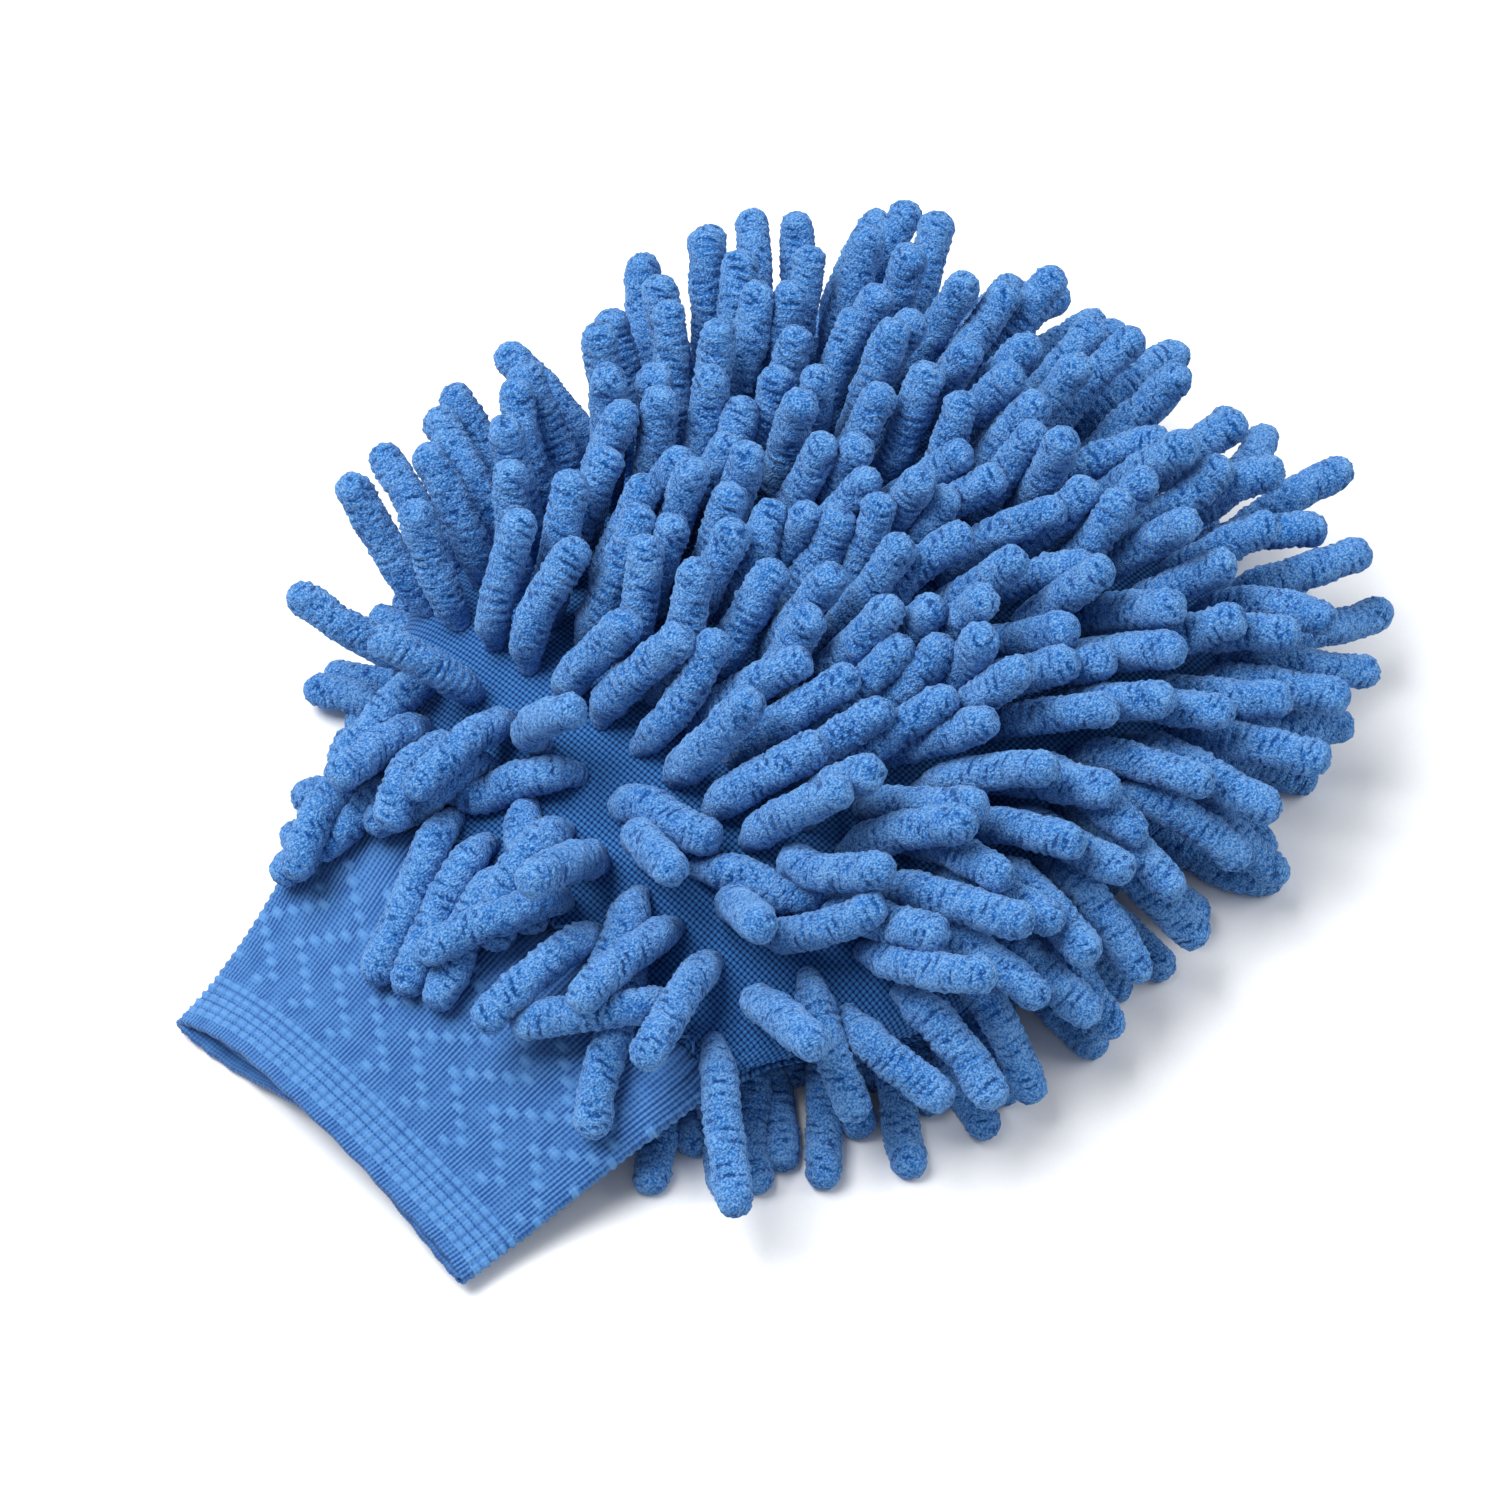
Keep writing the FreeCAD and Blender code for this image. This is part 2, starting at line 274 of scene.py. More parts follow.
@dataclass
class Graph:
    """A node tree with short ways to add and link nodes."""

    tree: bpy.types.NodeTree

    def node(self, kind: str, **settings: object) -> bpy.types.Node:
        """Add a node and set its properties."""
        made = self.tree.nodes.new(kind)
        for key, value in settings.items():
            setattr(made, key, value)
        return made

    def link(self, source: bpy.types.NodeSocket, target: bpy.types.NodeSocket) -> None:
        """Join two sockets."""
        self.tree.links.new(source, target)

    def put(self, value: object, target: bpy.types.NodeSocket) -> None:
        """Link a socket, or set a plain value."""
        if isinstance(value, bpy.types.NodeSocket):
            self.link(value, target)
        else:
            target.default_value = value

    def math(self, operation: str, *values: object) -> bpy.types.NodeSocket:
        """One arithmetic step, and its result."""
        made = self.node("ShaderNodeMath", operation=operation)
        for value, target in zip(values, made.inputs):
            self.put(value, target)
        return made.outputs[0]

    def add(self, first: object, second: object) -> bpy.types.NodeSocket:
        """The sum of two values."""
        return self.math("ADD", first, second)

    def times(self, first: object, second: object) -> bpy.types.NodeSocket:
        """The product of two values."""
        return self.math("MULTIPLY", first, second)

    def less(self, first: object, second: object) -> bpy.types.NodeSocket:
        """The first value less the second."""
        return self.math("SUBTRACT", first, second)

    def ramp(self, value: object, low: float, high: float) -> bpy.types.NodeSocket:
        """A value taken smoothly from 0 at low to 1 at high."""
        made = self.node("ShaderNodeMapRange", interpolation_type="SMOOTHSTEP")
        self.put(value, made.inputs["Value"])
        made.inputs["From Min"].default_value = low
        made.inputs["From Max"].default_value = high
        return made.outputs["Result"]

    def mix(self, share: object, first: object, second: object) -> bpy.types.NodeSocket:
        """A colour between two."""
        made = self.node("ShaderNodeMix", data_type="RGBA")
        self.put(share, made.inputs["Factor"])
        for value, target in ((first, made.inputs["A"]), (second, made.inputs["B"])):
            self.put((*value, 1.0) if isinstance(value, tuple) else value, target)
        return made.outputs["Result"]

    def noise(self, vector: object, scale: float, detail: float) -> bpy.types.NodeSocket:
        """Soft noise about 0.5."""
        made = self.node("ShaderNodeTexNoise")
        self.put(vector, made.inputs["Vector"])
        self.put(scale, made.inputs["Scale"])
        made.inputs["Detail"].default_value = detail
        return made.outputs["Fac"]

    def group(self, tree: bpy.types.NodeTree, **values: object) -> bpy.types.Node:
        """Place a node group with its own values."""
        made = self.node("ShaderNodeGroup", node_tree=tree)
        for key, value in values.items():
            self.put(value, made.inputs[key])
        return made


def new_group(name: str, inputs: dict[str, str], outputs: dict[str, str]) -> Graph:
    """Start a shader node group.

    Args:
        name: the group's name.
        inputs: socket type by input name.
        outputs: socket type by output name.

    Returns:
        The group's graph, with its input and output nodes in place.
    """
    tree = bpy.data.node_groups.new(name, "ShaderNodeTree")
    for label, kind in inputs.items():
        tree.interface.new_socket(name=label, in_out="INPUT", socket_type=kind)
    for label, kind in outputs.items():
        tree.interface.new_socket(name=label, in_out="OUTPUT", socket_type=kind)
    graph = Graph(tree)
    graph.node("NodeGroupInput", name="in")
    graph.node("NodeGroupOutput", name="out")
    return graph


def pile_group() -> bpy.types.NodeTree:
    """Tufted pile: clumps of cut yarn, their fibres, and a broad tone, each about 0.5."""
    graph = new_group(
        "tufted_pile",
        {"Vector": "NodeSocketVector", "Grain": "NodeSocketFloat", "Fibre": "NodeSocketFloat"},
        {"Clump": "NodeSocketFloat", "Fibre": "NodeSocketFloat", "Tone": "NodeSocketFloat"},
    )
    source = graph.tree.nodes["in"].outputs
    sink = graph.tree.nodes["out"].inputs
    soft = graph.noise(source["Vector"], source["Grain"], 2.0)
    cells = graph.node("ShaderNodeTexVoronoi", feature="F1")
    graph.link(source["Vector"], cells.inputs["Vector"])
    graph.link(graph.times(source["Grain"], 1.5), cells.inputs["Scale"])
    tuft = graph.less(1.0, graph.ramp(cells.outputs["Distance"], 0.05, 0.85))
    both = graph.add(graph.times(soft, 0.62), graph.times(tuft, 0.38))
    graph.link(graph.ramp(both, 0.22, 0.78), sink["Clump"])
    graph.link(graph.ramp(graph.noise(source["Vector"], source["Fibre"], 3.0), 0.33, 0.67), sink["Fibre"])
    graph.link(graph.noise(source["Vector"], graph.times(source["Grain"], 0.16), 2.0), sink["Tone"])
    return graph.tree


def weave_group() -> bpy.types.NodeTree:
    """Plain open weave: yarns that pass over and under, as a height and a gap mask."""
    graph = new_group(
        "open_weave",
        {"UV": "NodeSocketVector", "Pitch": "NodeSocketFloat"},
        {"Height": "NodeSocketFloat", "Gap": "NodeSocketFloat"},
    )
    source = graph.tree.nodes["in"].outputs
    sink = graph.tree.nodes["out"].inputs
    split = graph.node("ShaderNodeSeparateXYZ")
    graph.link(source["UV"], split.inputs[0])
    yarns = []
    floors = []
    for axis in ("X", "Y"):
        counted = graph.math("DIVIDE", split.outputs[axis], source["Pitch"])
        floors.append(graph.math("FLOOR", counted))
        part = graph.math("FRACT", counted)
        yarns.append(graph.math("SINE", graph.times(part, math.pi)))
    both = graph.add(floors[0], floors[1])
    over = graph.math("FLOORED_MODULO", both, 2.0)
    under = graph.less(1.0, over)
    heights = []
    for first, second in ((yarns[0], yarns[1]), (yarns[1], yarns[0])):
        across = graph.math("POWER", first, 0.6)
        rounded = graph.add(graph.times(second, 0.5), 0.5)
        heights.append(graph.times(across, rounded))
    graph.link(graph.add(graph.times(heights[0], over), graph.times(heights[1], under)), sink["Height"])
    corner = graph.math("MAXIMUM", yarns[0], yarns[1])
    thin = graph.times(yarns[0], yarns[1])
    covered = graph.add(graph.times(corner, 0.5), thin)
    gap = graph.less(1.0, graph.ramp(covered, 0.25, 0.62))
    graph.link(gap, sink["Gap"])
    return graph.tree


# ---------------------------------------------------------------- finishes


@dataclass(frozen=True)
class Finish:
    """What every cloth finish shares: its colours and how it takes light."""

    name: str
    # deep is painted shade in the chenille's cracks, the weave's gaps and the knit's grooves, and the dark end
    # of the thread's fibre tone; bright is partly painted highlight on raised tufts, yarns and rib crests, and
    # the light end of the thread's fibre tone.
    deep: Colour
    body: Colour
    bright: Colour
    roughness: float = 0.95
    sheen: float = 0.5
    sheen_roughness: float = 0.4
    sheen_tint: Colour = (0.55, 0.74, 1.0)
    specular: float = 0.2

    def begin(self) -> tuple[bpy.types.Material, Graph, bpy.types.Node]:
        """A material with its shader set up, its graph and the shader node."""
        material = bpy.data.materials.new(self.name)
        material.use_nodes = True
        graph = Graph(material.node_tree)
        shader = material.node_tree.nodes["Principled BSDF"]
        shader.inputs["Roughness"].default_value = self.roughness
        shader.inputs["Sheen Weight"].default_value = self.sheen
        shader.inputs["Sheen Roughness"].default_value = self.sheen_roughness
        shader.inputs["Sheen Tint"].default_value = (*self.sheen_tint, 1.0)
        shader.inputs["Specular IOR Level"].default_value = self.specular
        return material, graph, shader

    @staticmethod
    def bump(graph: Graph, shader: bpy.types.Node, height: object, depth: float, strength: float) -> None:
        """Feed a height to the shader's normal."""
        bump = graph.node("ShaderNodeBump")
        bump.inputs["Strength"].default_value = strength
        bump.inputs["Distance"].default_value = depth
        graph.put(height, bump.inputs["Height"])
        graph.link(bump.outputs["Normal"], shader.inputs["Normal"])


@dataclass(frozen=True)
class ChenilleFinish(Finish):
    """Short dense pile of the fingers, with painted shade in the cracks between its tufts and a painted
    highlight on their raised tops.
    """

    grain: float = 820.0
    fibre: float = 2300.0
    depth: float = 0.0007
    # How strongly the painted shade darkens the cracks.
    crack_shade_strength: float = 0.76

    def build(self, pile: bpy.types.NodeTree) -> bpy.types.Material:
        """Make the material around the shared pile group."""
        material, graph, shader = self.begin()
        place = graph.node("ShaderNodeTexCoord").outputs["Object"]
        yarn = graph.group(pile, Vector=place, Grain=self.grain, Fibre=self.fibre)
        clump, fibre, tone = (yarn.outputs[name] for name in ("Clump", "Fibre", "Tone"))
        ridge = graph.node("ShaderNodeAttribute", attribute_name="pile").outputs["Fac"]
        raised = graph.add(graph.times(ridge, 0.62), graph.times(clump, 0.38))
        # Painted shade: the low cracks between the tufts take the deep colour.
        crack_shade_mask = graph.less(1.0, graph.ramp(raised, 0.24, 0.48))
        # Partly painted highlight: raised tufts are lighter, mixed with the real fibre tone.
        lit = graph.add(graph.times(raised, 0.45), graph.times(fibre, 0.55))
        toned = graph.add(lit, graph.times(graph.less(tone, 0.5), 0.4))
        cloth = graph.mix(graph.ramp(toned, 0.20, 0.90), self.body, self.bright)
        colour = graph.mix(graph.times(crack_shade_mask, self.crack_shade_strength), cloth, self.deep)
        graph.link(colour, shader.inputs["Base Color"])
        height = graph.add(raised, graph.times(fibre, 0.45))
        self.bump(graph, shader, height, self.depth, 0.85)
        return material


@dataclass(frozen=True)
class WeaveFinish(Finish):
    """Open plain weave of the base cloth."""

    pitch: float = 1.0 * MM
    depth: float = 0.0004

    def build(self, weave: bpy.types.NodeTree, pile: bpy.types.NodeTree) -> bpy.types.Material:
        """Make the material around the shared weave and fibre groups."""
        material, graph, shader = self.begin()
        coordinates = graph.node("ShaderNodeTexCoord")
        yarn = graph.group(weave, UV=coordinates.outputs["UV"], Pitch=self.pitch)
        fuzz = graph.group(pile, Vector=coordinates.outputs["Object"], Grain=2200.0, Fibre=5200.0)
        # Partly painted highlight: the yarns are lighter where they rise, with a real drift of tone.
        raised = graph.ramp(yarn.outputs["Height"], 0.35, 0.98)
        drift = graph.times(graph.less(fuzz.outputs["Tone"], 0.5), 0.4)
        varied = graph.add(raised, drift)
        cloth = graph.mix(varied, self.body, self.bright)
        # Painted shade: the gaps between the yarns take the deep colour.
        colour = graph.mix(yarn.outputs["Gap"], cloth, self.deep)
        graph.link(colour, shader.inputs["Base Color"])
        height = graph.add(yarn.outputs["Height"], graph.times(fuzz.outputs["Fibre"], 0.2))
        self.bump(graph, shader, height, self.depth, 0.9)
        return material


@dataclass(frozen=True)
class KnitFinish(Finish):
    """Rib knit of the cuff, whose ribs and blocks are in its shape."""

    stitch: float = 0.85 * MM
    depth: float = 0.00018

    def build(self, weave: bpy.types.NodeTree, pile: bpy.types.NodeTree) -> bpy.types.Material:
        """Make the material: painted shade in the grooves, painted highlight on the ribs, and fine yarn on them.
        """
        material, graph, shader = self.begin()
        coordinates = graph.node("ShaderNodeTexCoord")
        yarn = graph.group(weave, UV=coordinates.outputs["UV"], Pitch=self.stitch)
        fuzz = graph.group(pile, Vector=coordinates.outputs["Object"], Grain=1800.0, Fibre=5200.0)
        rib = graph.node("ShaderNodeAttribute", attribute_name="rib").outputs["Fac"]
        fine = graph.times(graph.less(yarn.outputs["Height"], 0.6), 0.30)
        drift = graph.times(graph.less(fuzz.outputs["Tone"], 0.5), 0.35)
        varied = graph.add(fine, drift)
        raised = graph.add(rib, varied)
        # Painted shade in the low grooves and painted highlight on the crests, from the relief and the fine
        # yarn; the drift of tone is real.
        low = graph.mix(graph.ramp(raised, 0.05, 0.50), self.deep, self.body)
        colour = graph.mix(graph.ramp(raised, 0.45, 1.0), low, self.bright)
        graph.link(colour, shader.inputs["Base Color"])
        height = graph.add(yarn.outputs["Height"], graph.times(fuzz.outputs["Fibre"], 0.4))
        self.bump(graph, shader, height, self.depth, 0.8)
        return material


@dataclass(frozen=True)
class ThreadFinish(Finish):
    """Twisted sewing or elastic thread."""

    twist: float = 5200.0

    def build(self, pile: bpy.types.NodeTree) -> bpy.types.Material:
        """Make the material with fine fibres and a slight twist."""
        material, graph, shader = self.begin()
        place = graph.node("ShaderNodeTexCoord").outputs["Object"]
        fuzz = graph.group(pile, Vector=place, Grain=self.twist, Fibre=2 * self.twist)
        graph.link(graph.mix(fuzz.outputs["Clump"], self.deep, self.bright), shader.inputs["Base Color"])
        self.bump(graph, shader, fuzz.outputs["Fibre"], 0.00008, 0.7)
        return material


# ---------------------------------------------------------------- forms of the mitt


@dataclass
class PocketForm:
    """The pocket's rounded form, placed and sized from the frame."""

    mouth_x: float
    tip_x: float
    middle_y: float
    seam_z: float
    half_width: float
    back_crown: float
    palm_crown: float
    mouth_half_width: float = 53 * MM
    mouth_crown: float = 8 * MM
    flare_length: float = 45 * MM
    tip_corner: float = 48 * MM
    tip_slope: float = 62 * MM
    tip_roundness: float = 2.5
    section_roundness: float = 2.2

    @classmethod
    def from_frame(cls) -> "PocketForm":
        """Read the pocket's sizes from its panels' boxes."""
        low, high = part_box("back_panel")
        under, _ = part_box("palm_panel")
        return cls(
            mouth_x=low.x,
            tip_x=high.x + 0.6 * MM,
            middle_y=(low.y + high.y) / 2,
            seam_z=low.z,
            half_width=(high.y - low.y) / 2,
            back_crown=high.z - low.z,
            palm_crown=low.z - under.z,
        )

    def rounding(self, x: Array, length: float) -> Array:
        """1 along the pocket, falling on a rounded curve to 0 at the tip."""
        share = np.clip((x - self.tip_x + length) / length, 0, 1)
        return (1 - share**self.tip_roundness) ** (1 / self.tip_roundness)

    def width_at(self, x: Array) -> Array:
        """Half the pocket's width at x."""
        rise = ease((x - self.mouth_x) / self.flare_length)
        flare = self.mouth_half_width + (self.half_width - self.mouth_half_width) * rise
        return flare * self.rounding(x, self.tip_corner)

    def crown_at(self, x: Array, upper: Array) -> Array:
        """Height of the back, or depth of the palm, from the seam plane at x."""
        rise = ease((x - self.mouth_x) / self.flare_length)
        back = self.mouth_crown + (self.back_crown - self.mouth_crown) * rise
        return np.where(upper, back, self.palm_crown) * self.rounding(x, self.tip_slope)

    def point(self, x: Array, angle: Array, inset: float = 0.0) -> Array:
        """The point of the section at x, at an angle from the +Y seam."""
        across, up = np.cos(angle), np.sin(angle)
        power = 2 / self.section_roundness
        width = np.maximum(self.width_at(x) - inset, 0)
        crown = np.maximum(self.crown_at(x, up >= 0) - inset, 0)
        y = self.middle_y + width * signed_power(across, power)
        z = self.seam_z + crown * signed_power(up, power)
        return np.stack([x + 0 * y, y, z], axis=-1)

    def level(self, points: Array) -> Array:
        """1 on the pocket's surface, less inside and more outside."""
        x = np.minimum(points[:, 0], self.tip_x - 0.5 * MM)
        y = np.abs(points[:, 1] - self.middle_y) / self.width_at(x)
        rise = points[:, 2] - self.seam_z
        z = np.abs(rise) / self.crown_at(x, rise >= 0)
        power = self.section_roundness
        return (y**power + z**power) ** (1 / power)

    def outward(self, points: Array) -> tuple[Array, Array]:
        """Distance from the surface, less than 0 inside, and the way out."""
        return slope_of(self.level, points)

    def share_across(self, points: Array) -> Array:
        """Place across the width, from -1 at the -Y seam to 1 at the +Y seam."""
        return (points[:, 1] - self.middle_y) / self.width_at(points[:, 0])


def slope_of(level: object, points: Array) -> tuple[Array, Array]:
    """Distance and direction from a level function's surface.

    Args:
        level: a function that is 1 on the surface.
        points: where to measure.

    Returns:
        The signed distances, and unit vectors that point outwards.
    """
    step = 0.2 * MM
    here = level(points)
    slope = np.empty_like(points)
    for axis in range(3):
        move = np.zeros(3)
        move[axis] = step
        slope[:, axis] = (level(points + move) - level(points - move)) / (2 * step)
    steep = np.maximum(np.linalg.norm(slope, axis=1), 1e-6)
    return (here - 1) / steep, slope / steep[:, None]


@dataclass
class CuffForm:
    """The cuff's slack, nearly flat tube, from inside the mouth to the hem."""

    pocket: PocketForm
    root_x: float
    hem_x: float
    root_half_width: float
    hem_half_width: float
    hem_z: float
    tuck: float = 5 * MM              # length inside the mouth
    slack: float = 1.9 * MM           # half the flattened hem's thickness
    opening: float = 4.2 * MM         # how much more it stays open near one end
    opening_at: float = 0.66          # where, from -1 to 1 across the hem
    opening_reach: float = 0.36
    arch: float = 6.2 * MM            # how much the hem's middle stands over its ends
    bow: float = 2.4 * MM             # how much the hem's middle is drawn back
    section_roundness: float = 2.2

    @classmethod
    def from_frame(cls, pocket: PocketForm) -> "CuffForm":
        """Read the cuff's sizes from its node's box."""
        low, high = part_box("cuff")
        return cls(
            pocket=pocket,
            root_x=high.x,
            hem_x=low.x,
            root_half_width=(high.y - low.y) / 2 + 4.5 * MM,
            hem_half_width=(high.y - low.y) / 2 - 7 * MM,
            hem_z=low.z + 3.0 * MM,
        )

    @property
    def start_x(self) -> float:
        """Where the cuff begins, tucked into the mouth."""
        return self.pocket.mouth_x + self.tuck

    @property
    def length(self) -> float:
        """The cuff's whole length along X."""
        return self.start_x - self.hem_x

    def share(self, x: Array) -> Array:
        """0 at the cuff's root and 1 at its hem."""
        return np.clip((self.root_x - x) / (self.root_x - self.hem_x), 0, 1)

    def point(self, x: Array, angle: Array) -> Array:
        """The point of the cuff's section at x, at an angle from the +Y edge."""
        across, up = np.cos(angle), np.sin(angle)
        power = 2 / self.section_roundness
        lateral = signed_power(across, power)
        share = self.share(x)
        run = ease(share * 1.1)
        root_width = self.pocket.width_at(np.maximum(x, self.pocket.mouth_x)) - 1.6 * MM
        near = ease((self.start_x - x) / (self.start_x - self.root_x + 6 * MM))
        wide = root_width + (self.root_half_width - root_width) * near
        waist = 1.4 * MM * np.sin(math.pi * share)
        width = wide + (self.hem_half_width - self.root_half_width) * share - waist
        open_root = (self.pocket.mouth_crown + self.pocket.palm_crown) / 2 - 1.6 * MM
        bump = np.exp(-(((lateral - self.opening_at) / self.opening_reach) ** 2))
        flat = self.slack + self.opening * bump * ease(2 * share - 0.9)
        half = open_root + (flat - open_root) * run
        root_z = self.pocket.seam_z + (self.pocket.mouth_crown - self.pocket.palm_crown) / 2
        drop = np.sin(0.5 * math.pi * share) ** 1.15
        middle = root_z + (self.hem_z - root_z) * drop + self.arch * (1 - lateral**2) * share
        fold = 0.8 * MM * np.sin(5.2 * lateral + 1.0) * share
        z = middle + fold + half * signed_power(up, power)
        bowed = x + self.bow * (1 - lateral**2) * share**3
        return np.stack([bowed, self.pocket.middle_y + width * lateral, z], axis=-1)

    def level(self, points: Array) -> Array:
        """1 on a plain tube round the cuff, for keeping fingers off it."""
        share = self.share(points[:, 0])
        width = self.root_half_width + (self.hem_half_width - self.root_half_width) * share
        root_z = self.pocket.seam_z + (self.pocket.mouth_crown - self.pocket.palm_crown) / 2
        drop = np.sin(0.5 * math.pi * share) ** 1.15
        across = (points[:, 1] - self.pocket.middle_y) / width
        arched = self.arch * (1 - np.clip(across, -1, 1) ** 2) * share
        middle = root_z + (self.hem_z - root_z) * drop + arched
        half = 6.0 * MM + (3.4 * MM - 6.0 * MM) * ease(share * 1.1)
        up = (points[:, 2] - middle) / half
        power = self.section_roundness
        return (np.abs(across) ** power + np.abs(up) ** power) ** (1 / power)


# ---------------------------------------------------------------- chenille fingers


def finger_ends(node: str, side: Side) -> tuple[Array, Array]:
    """Find each finger of a row in its node.

    Args:
        node: the row's node.
        side: the face that the row is on.

    Returns:
        The fingers' root points and the directions they leave in.
    """
    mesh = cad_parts[node].data
    points = np.empty(len(mesh.vertices) * 3)
    mesh.vertices.foreach_get("co", points)
    points = points.reshape(-1, 3)
    corners = np.empty(len(mesh.loops), dtype=np.int64)
    mesh.loops.foreach_get("vertex_index", corners)
    _, weld = np.unique(np.round(points / (0.001 * MM)).astype(np.int64), axis=0, return_inverse=True)
    triangles = weld.ravel()[corners].reshape(-1, 3)
    label = np.arange(weld.max() + 1)
    while True:
        low = label[triangles].min(axis=1)
        spread = label.copy()
        for corner in range(3):
            np.minimum.at(spread, triangles[:, corner], low)
        spread = spread[spread]
        if (spread == label).all():
            break
        label = spread
    owner = label[weld.ravel()]
    roots, directions = [], []
    for part in np.unique(owner):
        solid = points[owner == part]
        middle = solid.mean(axis=0)
        axis = np.linalg.svd(solid - middle, full_matrices=False)[2][0]
        axis = axis * (np.sign(axis[2]) or 1.0) * side.value
        along = (solid - middle) @ axis
        end = solid[along < along.min() + 0.3 * MM].mean(axis=0)
        roots.append(end + axis * 0.4 * MM)
        directions.append(axis)
    order = np.argsort([root[1] for root in roots])
    return np.array(roots)[order], np.array(directions)[order]


@dataclass(frozen=True)
class Comb:
    """How the pile lies: leans in degrees against places on the back.

    along holds distances from the parting towards the tip, in metres, and leans to +X.
    across holds places from the -Y seam at -1 to the +Y seam at 1, and leans to +Y.
    """

    parting: float = 21 * MM
    along: tuple[tuple[float, float], ...] = (
        (-0.016, -122.0),
        (-0.013, -108.0),
        (-0.006, -66.0),
        (0.004, -22.0),
        (0.016, 38.0),
        (0.050, 38.0),
        (0.085, 30.0),
        (0.105, 27.0),
        (0.122, 42.0),
        (0.132, 62.0),
        (0.139, 90.0),
        (0.146, 98.0),
    )
    across: tuple[tuple[float, float], ...] = (
        (-1.0, -142.0),
        (-0.85, -102.0),
        (-0.6, -58.0),
        (-0.3, -37.0),
        (0.0, -15.0),
        (0.35, -2.0),
        (0.7, 18.0),
        (0.9, 48.0),
        (1.0, 86.0),
    )
    edge_hold: float = 0.95           # how much of the lean to the tip is lost at the long edges
    near_edge: float = 0.2            # where that begins on the -Y side
    far_edge: float = 0.5             # and on the +Y side
    palm_tilt: float = 16.0
    stray: float = 0.15
    parting_stray: float = 0.54
    cuff_stray: float = 0.62          # least share of that stray on the cuff's side

    def back(self, distance: Array, across: Array) -> Array:
        """Headings of the back's fingers."""
        lean_x = np.radians(np.interp(distance - self.parting, *zip(*self.along)))
        lean_y = np.radians(np.interp(across, *zip(*self.across)))
        start = np.where(across < 0, self.near_edge, self.far_edge)
        edge = ease((np.abs(across) - start) / (1 - start)) * ease((0.125 - distance) / 0.05)
        held = np.where(lean_x > 0, self.edge_hold, 0.4 * self.edge_hold)
        lean_x = lean_x * (1 - held * edge)
        return np.stack(
            [np.sin(lean_x), np.sin(lean_y) * np.cos(lean_x), np.cos(lean_y) * np.cos(lean_x)],
            axis=-1,
        )

    def strays(self, distance: Array) -> Array:
        """How far fingers stray from their heading: most beside the parting."""
        near = np.exp(-(((distance - self.parting) / (9.5 * MM)) ** 2))
        near = np.where(distance < self.parting, np.maximum(near, self.cuff_stray), near)
        return self.stray + self.parting_stray * near

    def palm(self, along: Array, across: Array) -> Array:
        """Headings of the palm's fingers, which splay out under the mitt's weight."""
        tilt = math.radians(self.palm_tilt)
        flat = np.stack([along, across, 0 * along], axis=-1)
        heading = unit(flat + 1e-6) * math.cos(tilt)
        heading[:, 2] = -math.sin(tilt)
        return heading


